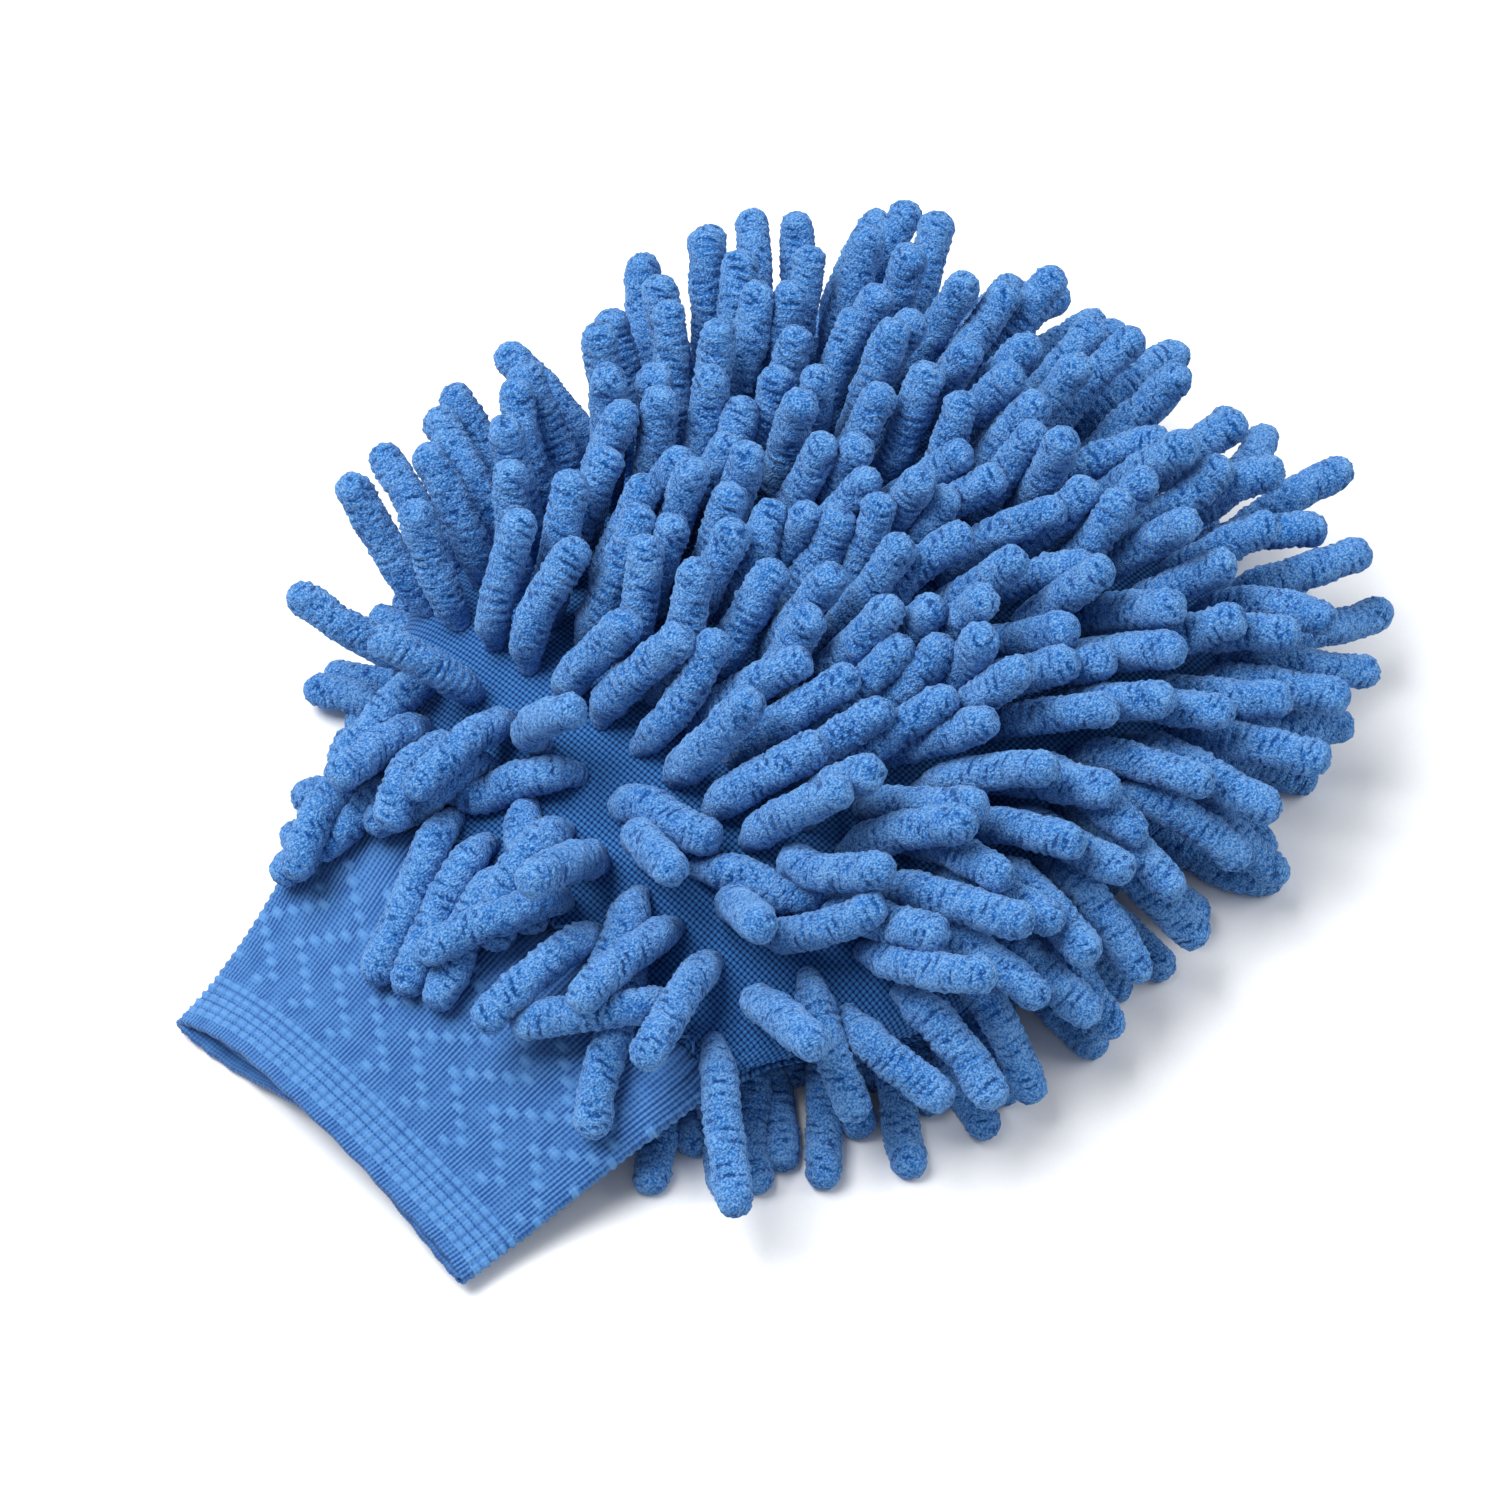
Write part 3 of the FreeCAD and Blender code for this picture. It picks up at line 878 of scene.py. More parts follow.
@dataclass
class Pile:
    """All the chenille fingers of both faces, laid together and then drawn in rows."""

    pocket: PocketForm
    cuff: CuffForm
    comb: Comb
    length: float = 33 * MM
    length_spread: float = 2.0 * MM
    cuff_reach: float = 0.20          # how much longer the fingers beside the cuff are
    radius: float = 3.8 * MM
    root_bend: float = 0.34           # share of the length in which a finger turns to its heading
    knots: int = 9
    rounds: int = 260
    seed: int = 7
    variants: int = 8
    rings: int = 66
    segments: int = 16
    blended_rows: int = 2

    def gather(self) -> None:
        """Read every finger's root from the frame's rows."""
        self.rows: list[tuple[str, Side, slice]] = []
        roots, leaving, start = [], [], 0
        for node in sorted(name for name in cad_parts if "_fingers_" in name):
            side = Side.BACK if node.startswith("back") else Side.PALM
            ends, directions = finger_ends(node, side)
            self.rows.append((node, side, slice(start, start + len(ends))))
            start += len(ends)
            roots.append(ends)
            leaving.append(directions)
        self.roots = np.concatenate(roots)
        self.leaving = np.concatenate(leaving)
        self.is_back = np.zeros(start, dtype=bool)
        for _, side, members in self.rows:
            self.is_back[members] = side is Side.BACK

    def headings(self, rng: np.random.Generator) -> Array:
        """The way each finger wants to lie, with a stray of its own."""
        pocket = self.pocket
        distance = self.roots[:, 0] - pocket.mouth_x
        across = pocket.share_across(self.roots)
        middle = (pocket.mouth_x + pocket.tip_x) / 2
        along = (self.roots[:, 0] - middle) / (pocket.tip_x - middle)
        back, palm = self.comb.back(distance, across), self.comb.palm(along, across)
        wanted = np.where(self.is_back[:, None], back, palm)
        strays = np.where(self.is_back, self.comb.strays(distance), self.comb.stray)
        return unit(wanted + rng.normal(0, 1, wanted.shape) * strays[:, None])

    def goal_lines(self, rng: np.random.Generator) -> Array:
        """Each finger's line if nothing were in its way."""
        count = len(self.roots)
        most = 2 * self.length_spread
        self.lengths = self.length + rng.normal(0, self.length_spread, count).clip(-most, most)
        by_cuff = np.exp(-(((self.roots[:, 0] - self.pocket.mouth_x) / (12 * MM)) ** 2)) * self.is_back
        self.lengths *= 1 + self.cuff_reach * by_cuff
        share = np.linspace(0, 1, self.knots)
        turn = ease(share / self.root_bend)[None, :, None]
        heading = self.headings(rng)[:, None, :]
        curl = rng.normal(0, 0.30, (count, 1, 3))
        wild = rng.random(count) < 0.06
        curl[wild] *= 2.8
        ways = self.leaving[:, None, :] * (1 - turn) + heading * turn
        ways = unit(ways + curl * (share[None, :, None] - 0.35))
        steps = ways[:, :-1] * (self.lengths / (self.knots - 1))[:, None, None]
        line = np.concatenate([np.zeros((count, 1, 3)), np.cumsum(steps, axis=1)], axis=1)
        return self.roots[:, None, :] + line

    def near_pairs(self, points: Array, owner: Array, reach: float) -> tuple[Array, Array]:
        """Knots of different fingers that lie within reach of each other."""
        order = np.argsort(points[:, 0], kind="stable")
        spot = points[order]
        firsts, seconds = [], []
        ends = np.searchsorted(spot[:, 0], spot[:, 0] + reach)
        for index in range(len(spot)):
            others = np.arange(index + 1, ends[index])
            gap = spot[others] - spot[index]
            close = others[(gap * gap).sum(axis=1) < reach * reach]
            firsts.append(np.full(len(close), index))
            seconds.append(close)
        first, second = order[np.concatenate(firsts)], order[np.concatenate(seconds)]
        apart = owner[first] != owner[second]
        return first[apart], second[apart]

    def settle(self) -> Array:
        """Lay the fingers under their weight, each clear of the others.

        Returns:
            The knots of each finger's line.
        """
        rng = np.random.default_rng(self.seed)
        goal = self.goal_lines(rng)
        line = goal.copy()
        count, knots = line.shape[:2]
        owner = np.repeat(np.arange(count), knots)
        knot = np.tile(np.arange(knots), count)
        radii = np.where(self.is_back, 0.93, 0.80)[owner] * self.radius * np.where(knot < 2, 0.8, 1.0)
        step = (self.lengths / (knots - 1))[:, None]
        free = knot >= 2
        ramp_up = (np.arange(knots) / (knots - 1))[None, :, None]
        for turn in range(self.rounds):
            line += 0.055 * (goal - line)
            line -= np.array([0, 0, 0.10 * MM]) * ramp_up
            middle = 0.5 * (line[:, :-2] + line[:, 2:]) - line[:, 1:-1]
            line[:, 1:-1] += 0.22 * middle
            flat = line.reshape(-1, 3)
            if turn % 10 == 0:
                first, second = self.near_pairs(flat, owner, 2 * self.radius + 2.5 * MM)
            gap = flat[first] - flat[second]
            wide = np.linalg.norm(gap, axis=1)
            reach = radii[first] + radii[second]
            touch = wide < reach
            push = (0.5 * (reach - wide) / np.maximum(wide, 1e-6))[touch, None] * gap[touch]
            moved = np.zeros_like(flat)
            weight = np.ones(len(flat))
            np.add.at(moved, first[touch], push)
            np.add.at(moved, second[touch], -push)
            np.add.at(weight, first[touch], 0.5)
            np.add.at(weight, second[touch], 0.5)
            flat += moved / weight[:, None]
            pocket, cuff = self.pocket, self.cuff
            self.keep_off(flat, free, radii, pocket.level, pocket.mouth_x - 4 * MM, pocket.tip_x - 3 * MM)
            self.keep_off(flat, free, radii, cuff.level, cuff.hem_x, cuff.root_x + 4 * MM)
            flat[:, 2] = np.maximum(flat[:, 2], 0.86 * radii)
            line = flat.reshape(count, knots, 3)
            line[:, 0] = self.roots
            for index in range(1, knots):
                away = unit(line[:, index] - line[:, index - 1])
                line[:, index] = line[:, index - 1] + away * step
        return line

    @staticmethod
    def keep_off(
        flat: Array, free: Array, radii: Array, level: object, low_x: float, high_x: float
    ) -> None:
        """Move free knots out of a form, over a stretch of X."""
        inside = free & (flat[:, 0] > low_x) & (flat[:, 0] < high_x)
        if not inside.any():
            return
        depth, way = slope_of(level, flat[inside])
        lack = np.clip(0.92 * radii[inside] - depth, 0, 6 * MM)
        flat[inside] += way * lack[:, None]

    def finger_form(self, number: int) -> bpy.types.Object:
        """Model one straight finger, standing on the origin, with its pile's ridges."""
        deselect()
        bpy.ops.mesh.primitive_uv_sphere_add(segments=self.segments, ring_count=self.rings, radius=1.0)
        obj = bpy.context.object
        obj.name = f"finger_form_{number}"
        ball = points_of(obj)
        rng = np.random.default_rng(100 + number)
        angle = np.arctan2(ball[:, 1], ball[:, 0])
        ring = np.rint((1 - np.arccos(np.clip(ball[:, 2], -1, 1)) / math.pi) * self.rings).astype(int)
        heights, widths = self.profile()
        z, radius = heights[ring], widths[ring]
        wobble = sum(
            rng.normal(0, 0.5) * np.sin(order * angle + rng.uniform(0, TURN) + z / MM * rng.uniform(0.1, 0.4))
            for order in (1, 2, 3)
        )
        pitch = rng.uniform(1.85, 2.25) * MM
        wave = 0.5 + 0.5 * np.sin(TURN * z / pitch + 3.0 * wobble)
        broken = 0.5 + 0.5 * np.sin(2 * angle + z / MM * rng.uniform(0.5, 1.1) + 2 * wobble)
        ridge = 1 - (1 - wave) ** 1.8 * (0.30 + 0.70 * broken)
        broad = sum(
            np.sin(order * angle + rng.uniform(0, TURN))
            * np.sin(z / MM * rng.uniform(0.25, 0.8) + rng.uniform(0, TURN))
            for order in (1, 2, 3, 4)
        )
        grains = rng.normal(0, 1, len(ball))
        body = np.clip(radius / self.radius, 0, 1)
        swell = (0.32 * (ridge - 0.75) + 0.12 * broad + 0.14 * grains) * MM * body
        radius = np.maximum(radius + swell, 0)
        tip = (ring >= self.rings - 6) * rng.normal(0, 0.12, len(ball)) * MM
        set_points(obj, np.stack([radius * np.cos(angle), radius * np.sin(angle), z + tip], axis=-1))
        # The ridges' height; the chenille material paints shade into its low cracks and lightens its raised
        # tufts from it.
        set_mask(obj, "pile", np.clip(0.78 * ridge + 0.08 * broad + 0.10 * grains + 0.1, 0, 1))
        return obj

    def profile(self) -> tuple[Array, Array]:
        """Height and radius of each ring of a finger, root to tip."""
        root_rings, tip_rings = 5, 9
        shaft_rings = self.rings + 1 - root_rings - tip_rings
        root_top, cap_start = 1.6 * MM, self.length - self.radius
        root = np.linspace(0, 1, root_rings, endpoint=False)
        tip = np.linspace(0, 1, tip_rings + 1)[1:]
        shaft = np.linspace(root_top, cap_start, shaft_rings)
        heights = np.concatenate(
            [root * root_top - 1.2 * MM * (1 - root), shaft, cap_start + self.radius * np.sin(tip * math.pi / 2)]
        )
        swell = 0.66 + 0.34 * ease((shaft - root_top) / (7 * MM))
        widths = np.concatenate(
            [0.66 * np.sin(root * math.pi / 2) ** 0.7, swell, np.cos(tip * math.pi / 2) ** 0.85]
        )
        return heights, widths * self.radius

    def drawn(self, line: Array, form: Array, scale: float, roll: float) -> Array:
        """A finger form bent along its line.

        Args:
            line: the finger's knots.
            form: the straight finger's vertex places.
            scale: how fat it is.
            roll: how far it is turned about itself.

        Returns:
            The bent finger's vertex places.
        """
        samples = 48
        before = line[0] - (line[1] - line[0]) * 0.5
        control = np.concatenate([[before], line, [2 * line[-1] - line[-2]]])
        spot = np.linspace(0, len(line) - 1 - 1e-6, samples)
        whole = spot.astype(int)
        part = (spot - whole)[:, None]
        p0, p1, p2, p3 = (control[whole + k] for k in range(4))
        second, third = 2 * p0 - 5 * p1 + 4 * p2 - p3, 3 * p1 - p0 - 3 * p2 + p3
        curve = 0.5 * (2 * p1 + (p2 - p0) * part + second * part**2 + third * part**3)
        ways = unit(np.gradient(curve, axis=0))
        sides = np.empty_like(curve)
        start = np.cross(ways[0], [0.31, 0.22, 0.93])
        sides[0] = start / np.linalg.norm(start)
        for index in range(1, samples):
            side = sides[index - 1] - ways[index] * (sides[index - 1] @ ways[index])
            sides[index] = side / np.linalg.norm(side)
        others = np.cross(ways, sides)
        place = form[:, 2] / self.length * (samples - 1)
        lower = np.clip(np.floor(place).astype(int), 0, samples - 2)
        share = (place - lower)[:, None]
        centre = curve[lower] * (1 - share) + curve[lower + 1] * share
        side = sides[lower] * (1 - share.clip(0, 1)) + sides[lower + 1] * share.clip(0, 1)
        other = others[lower] * (1 - share.clip(0, 1)) + others[lower + 1] * share.clip(0, 1)
        x = (form[:, 0] * math.cos(roll) - form[:, 1] * math.sin(roll)) * scale
        y = (form[:, 0] * math.sin(roll) + form[:, 1] * math.cos(roll)) * scale
        placed = centre + side * x[:, None] + other * y[:, None]
        placed[:, 2] = np.maximum(placed[:, 2], 0.15 * MM)
        return placed

    def build(self, material: bpy.types.Material) -> dict[Side, list[bpy.types.Object]]:
        """Lay the pile and make one piece for each row.

        Args:
            material: the chenille finish.

        Returns:
            The row pieces of each face.
        """
        self.gather()
        lines = self.settle()
        forms = [self.finger_form(number) for number in range(self.variants)]
        shapes = [points_of(form) for form in forms]
        # Each form's ridge height, which the chenille material turns into painted shade and highlight.
        ridge_heights = []
        for form in forms:
            tone = np.empty(len(form.data.vertices))
            form.data.attributes["pile"].data.foreach_get("value", tone)
            ridge_heights.append(tone)
        rng = np.random.default_rng(self.seed + 1)
        made: dict[Side, list[bpy.types.Object]] = {Side.BACK: [], Side.PALM: []}
        for node, side, members in self.rows:
            picks = rng.integers(0, self.variants, members.stop - members.start)
            places = [
                self.drawn(line, shapes[pick], rng.uniform(0.94, 1.05), rng.uniform(0, TURN))
                for line, pick in zip(lines[members], picks)
            ]
            piece = tiled(node.replace("fingers", "chenille_row"), forms, picks, places)
            set_mask(piece, "pile", np.concatenate([ridge_heights[pick] for pick in picks]))
            smooth(piece)
            dress(piece, material)
            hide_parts(node)
            if int(node[-2:]) <= self.blended_rows:
                bend_with_cuff(piece)
            else:
                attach(piece, "pocket")
            made[side].append(piece)
            LOG.info("%s: %d fingers", piece.name, len(places))
        discard(forms)
        return made


def bend_with_cuff(piece: bpy.types.Object) -> None:
    """Bake a piece's placement into its mesh."""
    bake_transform(piece)


# ---------------------------------------------------------------- cloth pieces


@dataclass
class Panel:
    """One cloth panel of the pocket."""

    side: Side
    pocket: PocketForm
    along: int = 120
    round_tip: int = 48
    across: int = 150
    thickness: float = 1.1 * MM
    lip: float = 2.2 * MM
    seam_drop: float = 0.9 * MM
    pucker: float = 0.7 * MM

    def stations(self, share: Array) -> Array:
        """Places along X, packed evenly round the tip's curve."""
        pocket = self.pocket
        shoulder = pocket.tip_x - pocket.tip_corner
        split = self.along / (self.along + self.round_tip)
        straight = pocket.mouth_x + (shoulder - pocket.mouth_x) * np.clip(share / split, 0, 1)
        bend = np.clip((share - split) / (1 - split), 0, 1) * math.pi / 2
        curve = pocket.tip_corner * np.sin(bend) ** (2 / pocket.tip_roundness)
        return np.where(share <= split, straight, shoulder + curve)

    def run_along(self, x: Array) -> Array:
        """Distance along the panel's middle line from the mouth to x."""
        marks = self.stations(np.linspace(0, 1, 2000))
        line = self.pocket.point(marks, np.full(len(marks), self.side.value * math.pi / 2))
        run = np.concatenate([[0], np.cumsum(np.linalg.norm(np.diff(line, axis=0), axis=1))])
        return np.interp(x, marks, run)

    def run_across(self, x: Array, share: Array) -> Array:
        """Distance across the panel from its middle line, as its flat cut has it."""
        marks = np.linspace(0, 1, 2000)
        widest = np.full(len(marks), (self.pocket.mouth_x + self.pocket.tip_x) / 2)
        line = self.shape(widest, marks)
        run = np.concatenate([[0], np.cumsum(np.linalg.norm(np.diff(line, axis=0), axis=1))])
        from_middle = np.interp(share, marks, run) - run[-1] / 2
        return from_middle * self.pocket.width_at(x) / self.pocket.half_width

    def shape(self, x: Array, share: Array) -> Array:
        """The panel's surface, whose long edges turn in to the seam."""
        margin = 0.03
        angle = math.pi * np.clip((share - margin) / (1 - 2 * margin), 0, 1)
        points = self.pocket.point(x, angle * self.side.value)
        edge = np.maximum(margin - share, share - 1 + margin) / margin
        turned = np.clip(edge, 0, 1)
        width = self.pocket.width_at(x)
        inwards = np.minimum(self.lip * ease(turned), 0.5 * width)
        points[:, 1] -= np.sign(points[:, 1] - self.pocket.middle_y) * inwards
        rise = np.abs(points[:, 2] - self.pocket.seam_z)
        seam = 0.35 * MM + self.seam_drop * (1 - turned) * np.exp(-rise / (2 * MM))
        points[:, 2] += self.side.value * seam * np.clip(width / (6 * MM), 0, 1)
        mouth = np.exp(-(x - self.pocket.mouth_x) / (7 * MM))
        waves = np.sin(46 * angle + 0.9 * np.sin(5 * angle)) + 0.5 * np.sin(73 * angle + 1)
        points[:, 2] += self.side.value * self.pucker * mouth * waves * (turned == 0)
        return points

    def build(self, material: bpy.types.Material) -> bpy.types.Object:
        """Make the panel from a grid and give it its thickness."""
        obj, first, second = grid_sheet(f"{self.side.word}_cloth", self.along + self.round_tip, self.across)
        x = self.stations(first)
        points = self.shape(x, second)
        set_points(obj, points)
        set_uv(obj, np.stack([self.run_along(x), self.run_across(x, second)], axis=-1))
        merge_doubles(obj, 0.02 * MM)
        centre = points_of(obj)
        centre[:, 1] = self.pocket.middle_y
        centre[:, 2] = self.pocket.seam_z - self.side.value * 20 * MM
        face_outwards(obj, centre)
        thicken(obj, self.thickness)
        smooth(obj)
        dress(obj, material)
        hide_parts(f"{self.side.word}_panel")
        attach(obj, "pocket")
        LOG.info("%s: %d faces", obj.name, len(obj.data.polygons))
        return obj


@dataclass
class KnitCuff:
    """The elasticated rib-knit cuff: ribs, blocks near the hem and a zigzag band."""

    form: CuffForm
    ribs: int = 195
    per_rib: int = 3
    rows: int = 124
    inner_rows: int = 20
    thickness: float = 1.0 * MM
    rib_height: float = 0.30 * MM
    block_height: float = 0.60 * MM
    block_pitch: float = 2.1 * MM
    hem_band: float = 2.6 * MM
    fold_pitch: float = 1.9 * MM      # ripples of the knit on both folded edges
    fold_height: float = 0.45 * MM
    grid_rows: int = 5
    zigzag_rows: int = 14
    zigzag_gap: float = 1.9 * MM
    ribs_per_block: int = 3

    def even_angles(self, count: int) -> Array:
        """Angles at even steps along the cuff's section."""
        fine = np.linspace(0, TURN, 4001)
        middle = (self.form.root_x + self.form.hem_x) / 2
        points = self.form.point(np.full(len(fine), middle), fine)
        run = np.concatenate([[0], np.cumsum(np.linalg.norm(np.diff(points, axis=0), axis=1))])
        self.girth = float(run[-1])
        return np.interp(np.linspace(0, run[-1], count + 1), run, fine)

    def relief(self, around: Array, from_hem: Array) -> Array:
        """Height of the knit's ribs and blocks, from 0 to 1.

        Args:
            around: place round the cuff, counted in ribs.
            from_hem: distance from the hem.

        Returns:
            The relief at each place.
        """
        rib = 0.5 + 0.5 * np.cos(TURN * around)
        column = np.floor(around / self.ribs_per_block)
        within = (around / self.ribs_per_block) % 1.0
        crest = ease((0.46 - np.abs(within - 0.5)) / 0.12)
        grid_end = self.hem_band + self.grid_rows * self.block_pitch
        zig_start = grid_end + self.zigzag_gap
        zig_end = zig_start + self.zigzag_rows * self.block_pitch
        in_grid = (from_hem > self.hem_band) & (from_hem < grid_end)
        in_zigzag = (from_hem > zig_start) & (from_hem < zig_end)
        base = np.where(in_zigzag, zig_start, self.hem_band)
        row = np.floor((from_hem - base) / self.block_pitch)
        place = ((from_hem - base) / self.block_pitch) % 1.0
        length = ease((0.46 - np.abs(place - 0.48)) / 0.20)
        swing = np.abs((row + 3) % 8 - 4)
        chevron = ((column + swing) % 4) < 1
        shown = in_grid | (in_zigzag & chevron)
        block = np.where(shown, crest * length, 0)
        groove = np.where(in_grid, 0.55, 1.0)
        return np.maximum(0.66 * rib * groove, block * (0.68 + 0.08 * rib))

    def sheet(self, name: str, count: int, rows: int, inset: float, knitted: bool) -> bpy.types.Object:
        """One face of the cuff as an open tube.

        Args:
            name: the object's name.
            count: faces round the tube.
            rows: faces along it.
            inset: how far it lies inside the outer face.
            knitted: whether it carries the relief.

        Returns:
            The tube, with its seam merged.
        """
        form = self.form
        angles = self.even_angles(count)
        obj, first, second = grid_sheet(name, rows, count)
        x = form.start_x - first * form.length
        index = np.rint(second * count).astype(int)
        angle = angles[index]
        points = form.point(x, angle)
        ahead = form.point(x, angle + 0.002) - form.point(x, angle - 0.002)
        back = form.point(x - 0.1 * MM, angle) - form.point(x + 0.1 * MM, angle)
        outwards = unit(np.cross(back, ahead))
        low_hub = np.full(len(x), form.pocket.seam_z - 10 * MM)
        hub = np.stack([x, np.full(len(x), form.pocket.middle_y), low_hub], axis=-1)
        outwards *= np.sign((outwards * (points - hub)).sum())
        from_hem = x - form.hem_x
        around = second * self.ribs
        relief = self.relief(around, from_hem) if knitted else np.full(len(x), 0.3)
        height = np.where(relief > 0.6, self.block_height, self.rib_height) * relief
        ripple = 0.5 + 0.5 * np.sin(TURN * from_hem / self.fold_pitch)
        height = height + self.fold_height * ripple * np.abs(np.cos(angle)) ** 10
        lift = height if knitted else np.zeros(len(x))
        hem_wave = 0.55 * MM * np.sin(3 * angle) + 0.12 * MM * np.sin(31 * angle + 1)
        points[:, 0] += hem_wave * np.exp(-from_hem / (6 * MM))
        gathers = np.exp(-np.abs(x - form.pocket.mouth_x) / (7 * MM))
        fold = 0.55 * MM * gathers * np.sin(38 * angle + np.sin(7 * angle))
        points = points + outwards * (lift - inset + fold)[:, None]
        set_points(obj, points)
        set_uv(obj, np.stack([second * self.girth, from_hem], axis=-1))
        # The relief; the knit material paints shade into its grooves and highlight on its crests from it.
        set_mask(obj, "rib", np.clip(relief, 0, 1))
        merge_doubles(obj, 0.01 * MM)
        centre = points_of(obj)
        centre[:, 1] = form.pocket.middle_y
        middle_z = form.point(centre[:, 0], np.full(len(centre), 0.0))[:, 2]
        centre[:, 2] = middle_z
        face_outwards(obj, centre)
        return obj

    def build(self, material: bpy.types.Material) -> bpy.types.Object:
        """Model both faces, close them at the hem and the root, and dress the cuff."""
        outer = self.sheet("cuff_knit", self.ribs * self.per_rib, self.rows, 0.0, True)
        inner = self.sheet("cuff_lining_face", self.ribs, self.inner_rows, self.thickness, False)
        choose(inner)
        bpy.ops.object.mode_set(mode="EDIT")
        bpy.ops.mesh.select_all(action="SELECT")
        bpy.ops.mesh.flip_normals()
        bpy.ops.object.mode_set(mode="OBJECT")
        cuff = join([outer, inner], "cuff_knit")
        self.close_end(cuff, self.form.hem_x)
        self.close_end(cuff, self.form.start_x)
        smooth(cuff)
        dress(cuff, material)
        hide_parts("cuff")
        bend_with_cuff(cuff)
        LOG.info("%s: %d faces", cuff.name, len(cuff.data.polygons))
        return cuff

    @staticmethod
    def close_end(obj: bpy.types.Object, x: float) -> None:
        """Bridge the two open rims near x."""
        choose(obj)
        bpy.ops.object.mode_set(mode="EDIT")
        bpy.ops.mesh.select_mode(type="EDGE")
        bpy.ops.mesh.select_all(action="DESELECT")
        bpy.ops.mesh.select_non_manifold(
            extend=False, use_wire=False, use_boundary=True,
            use_multi_face=False, use_non_contiguous=False, use_verts=False,
        )
        bpy.ops.object.mode_set(mode="OBJECT")
        points = points_of(obj)
        for edge in obj.data.edges:
            if edge.select and abs(points[edge.vertices[0], 0] - x) > 4 * MM:
                edge.select = False
        bpy.ops.object.mode_set(mode="EDIT")
        bpy.ops.mesh.bridge_edge_loops()
        bpy.ops.object.mode_set(mode="OBJECT")


# ---------------------------------------------------------------- seams and threads


@dataclass
class Stitcher:
    """Places one modelled stitch many times."""

    length: float = 2.2 * MM
    radius: float = 0.32 * MM

    def form(self) -> bpy.types.Object:
        """Model a stitch: a short thread that arches over the cloth."""
        deselect()
        bpy.ops.mesh.primitive_uv_sphere_add(segments=6, ring_count=7, radius=1.0)
        obj = bpy.context.object
        obj.name = "stitch_form"
        ball = points_of(obj)
        along = np.sin(np.clip(ball[:, 2], -1, 1) * math.pi / 2)
        girth = np.hypot(ball[:, 0], ball[:, 1]) ** 0.45
        angle = np.arctan2(ball[:, 1], ball[:, 0])
        arch = 0.9 * self.radius * (1 - along**2)
        side = girth * np.cos(angle) * self.radius
        up = girth * np.sin(angle) * self.radius + arch
        set_points(obj, np.stack([along * self.length / 2, side, up], axis=-1))
        return obj

    def sew(
        self, name: str, places: Array, ways: Array, ups: Array, stretch: float = 1.0
    ) -> bpy.types.Object:
        """Copies of the stitch in one piece.

        Args:
            name: the piece's name.
            places: the middle of each stitch.
            ways: the way each stitch runs.
            ups: the way each stitch arches.
            stretch: how long the stitches are against the form.

        Returns:
            The new piece.
        """
        form = self.form()
        shape = points_of(form) * [stretch, 1, 1]
        ways, ups = unit(ways), unit(ups)
        sides = unit(np.cross(ups, ways))
        ups = np.cross(ways, sides)
        turned = [
            place + shape[:, :1] * way + shape[:, 1:2] * side + shape[:, 2:3] * up
            for place, way, side, up in zip(places, ways, sides, ups)
        ]
        piece = tiled(name, [form], np.zeros(len(turned), dtype=int), turned)
        discard([form])
        smooth(piece)
        return piece


def even_steps(points: Array, pitch: float) -> tuple[Array, Array]:
    """Even steps along a path.

    Args:
        points: the path, finely drawn.
        pitch: the distance between steps.

    Returns:
        The places, and the path's direction at each.
    """
    run = np.concatenate([[0], np.cumsum(np.linalg.norm(np.diff(points, axis=0), axis=1))])
    marks = np.arange(pitch / 2, run[-1], pitch)
    step = 0.2 * MM
    places, ahead, behind = (
        np.stack([np.interp(spots, run, points[:, axis]) for axis in range(3)], axis=-1)
        for spots in (marks, marks + step, marks - step)
    )
    return places, unit(ahead - behind)


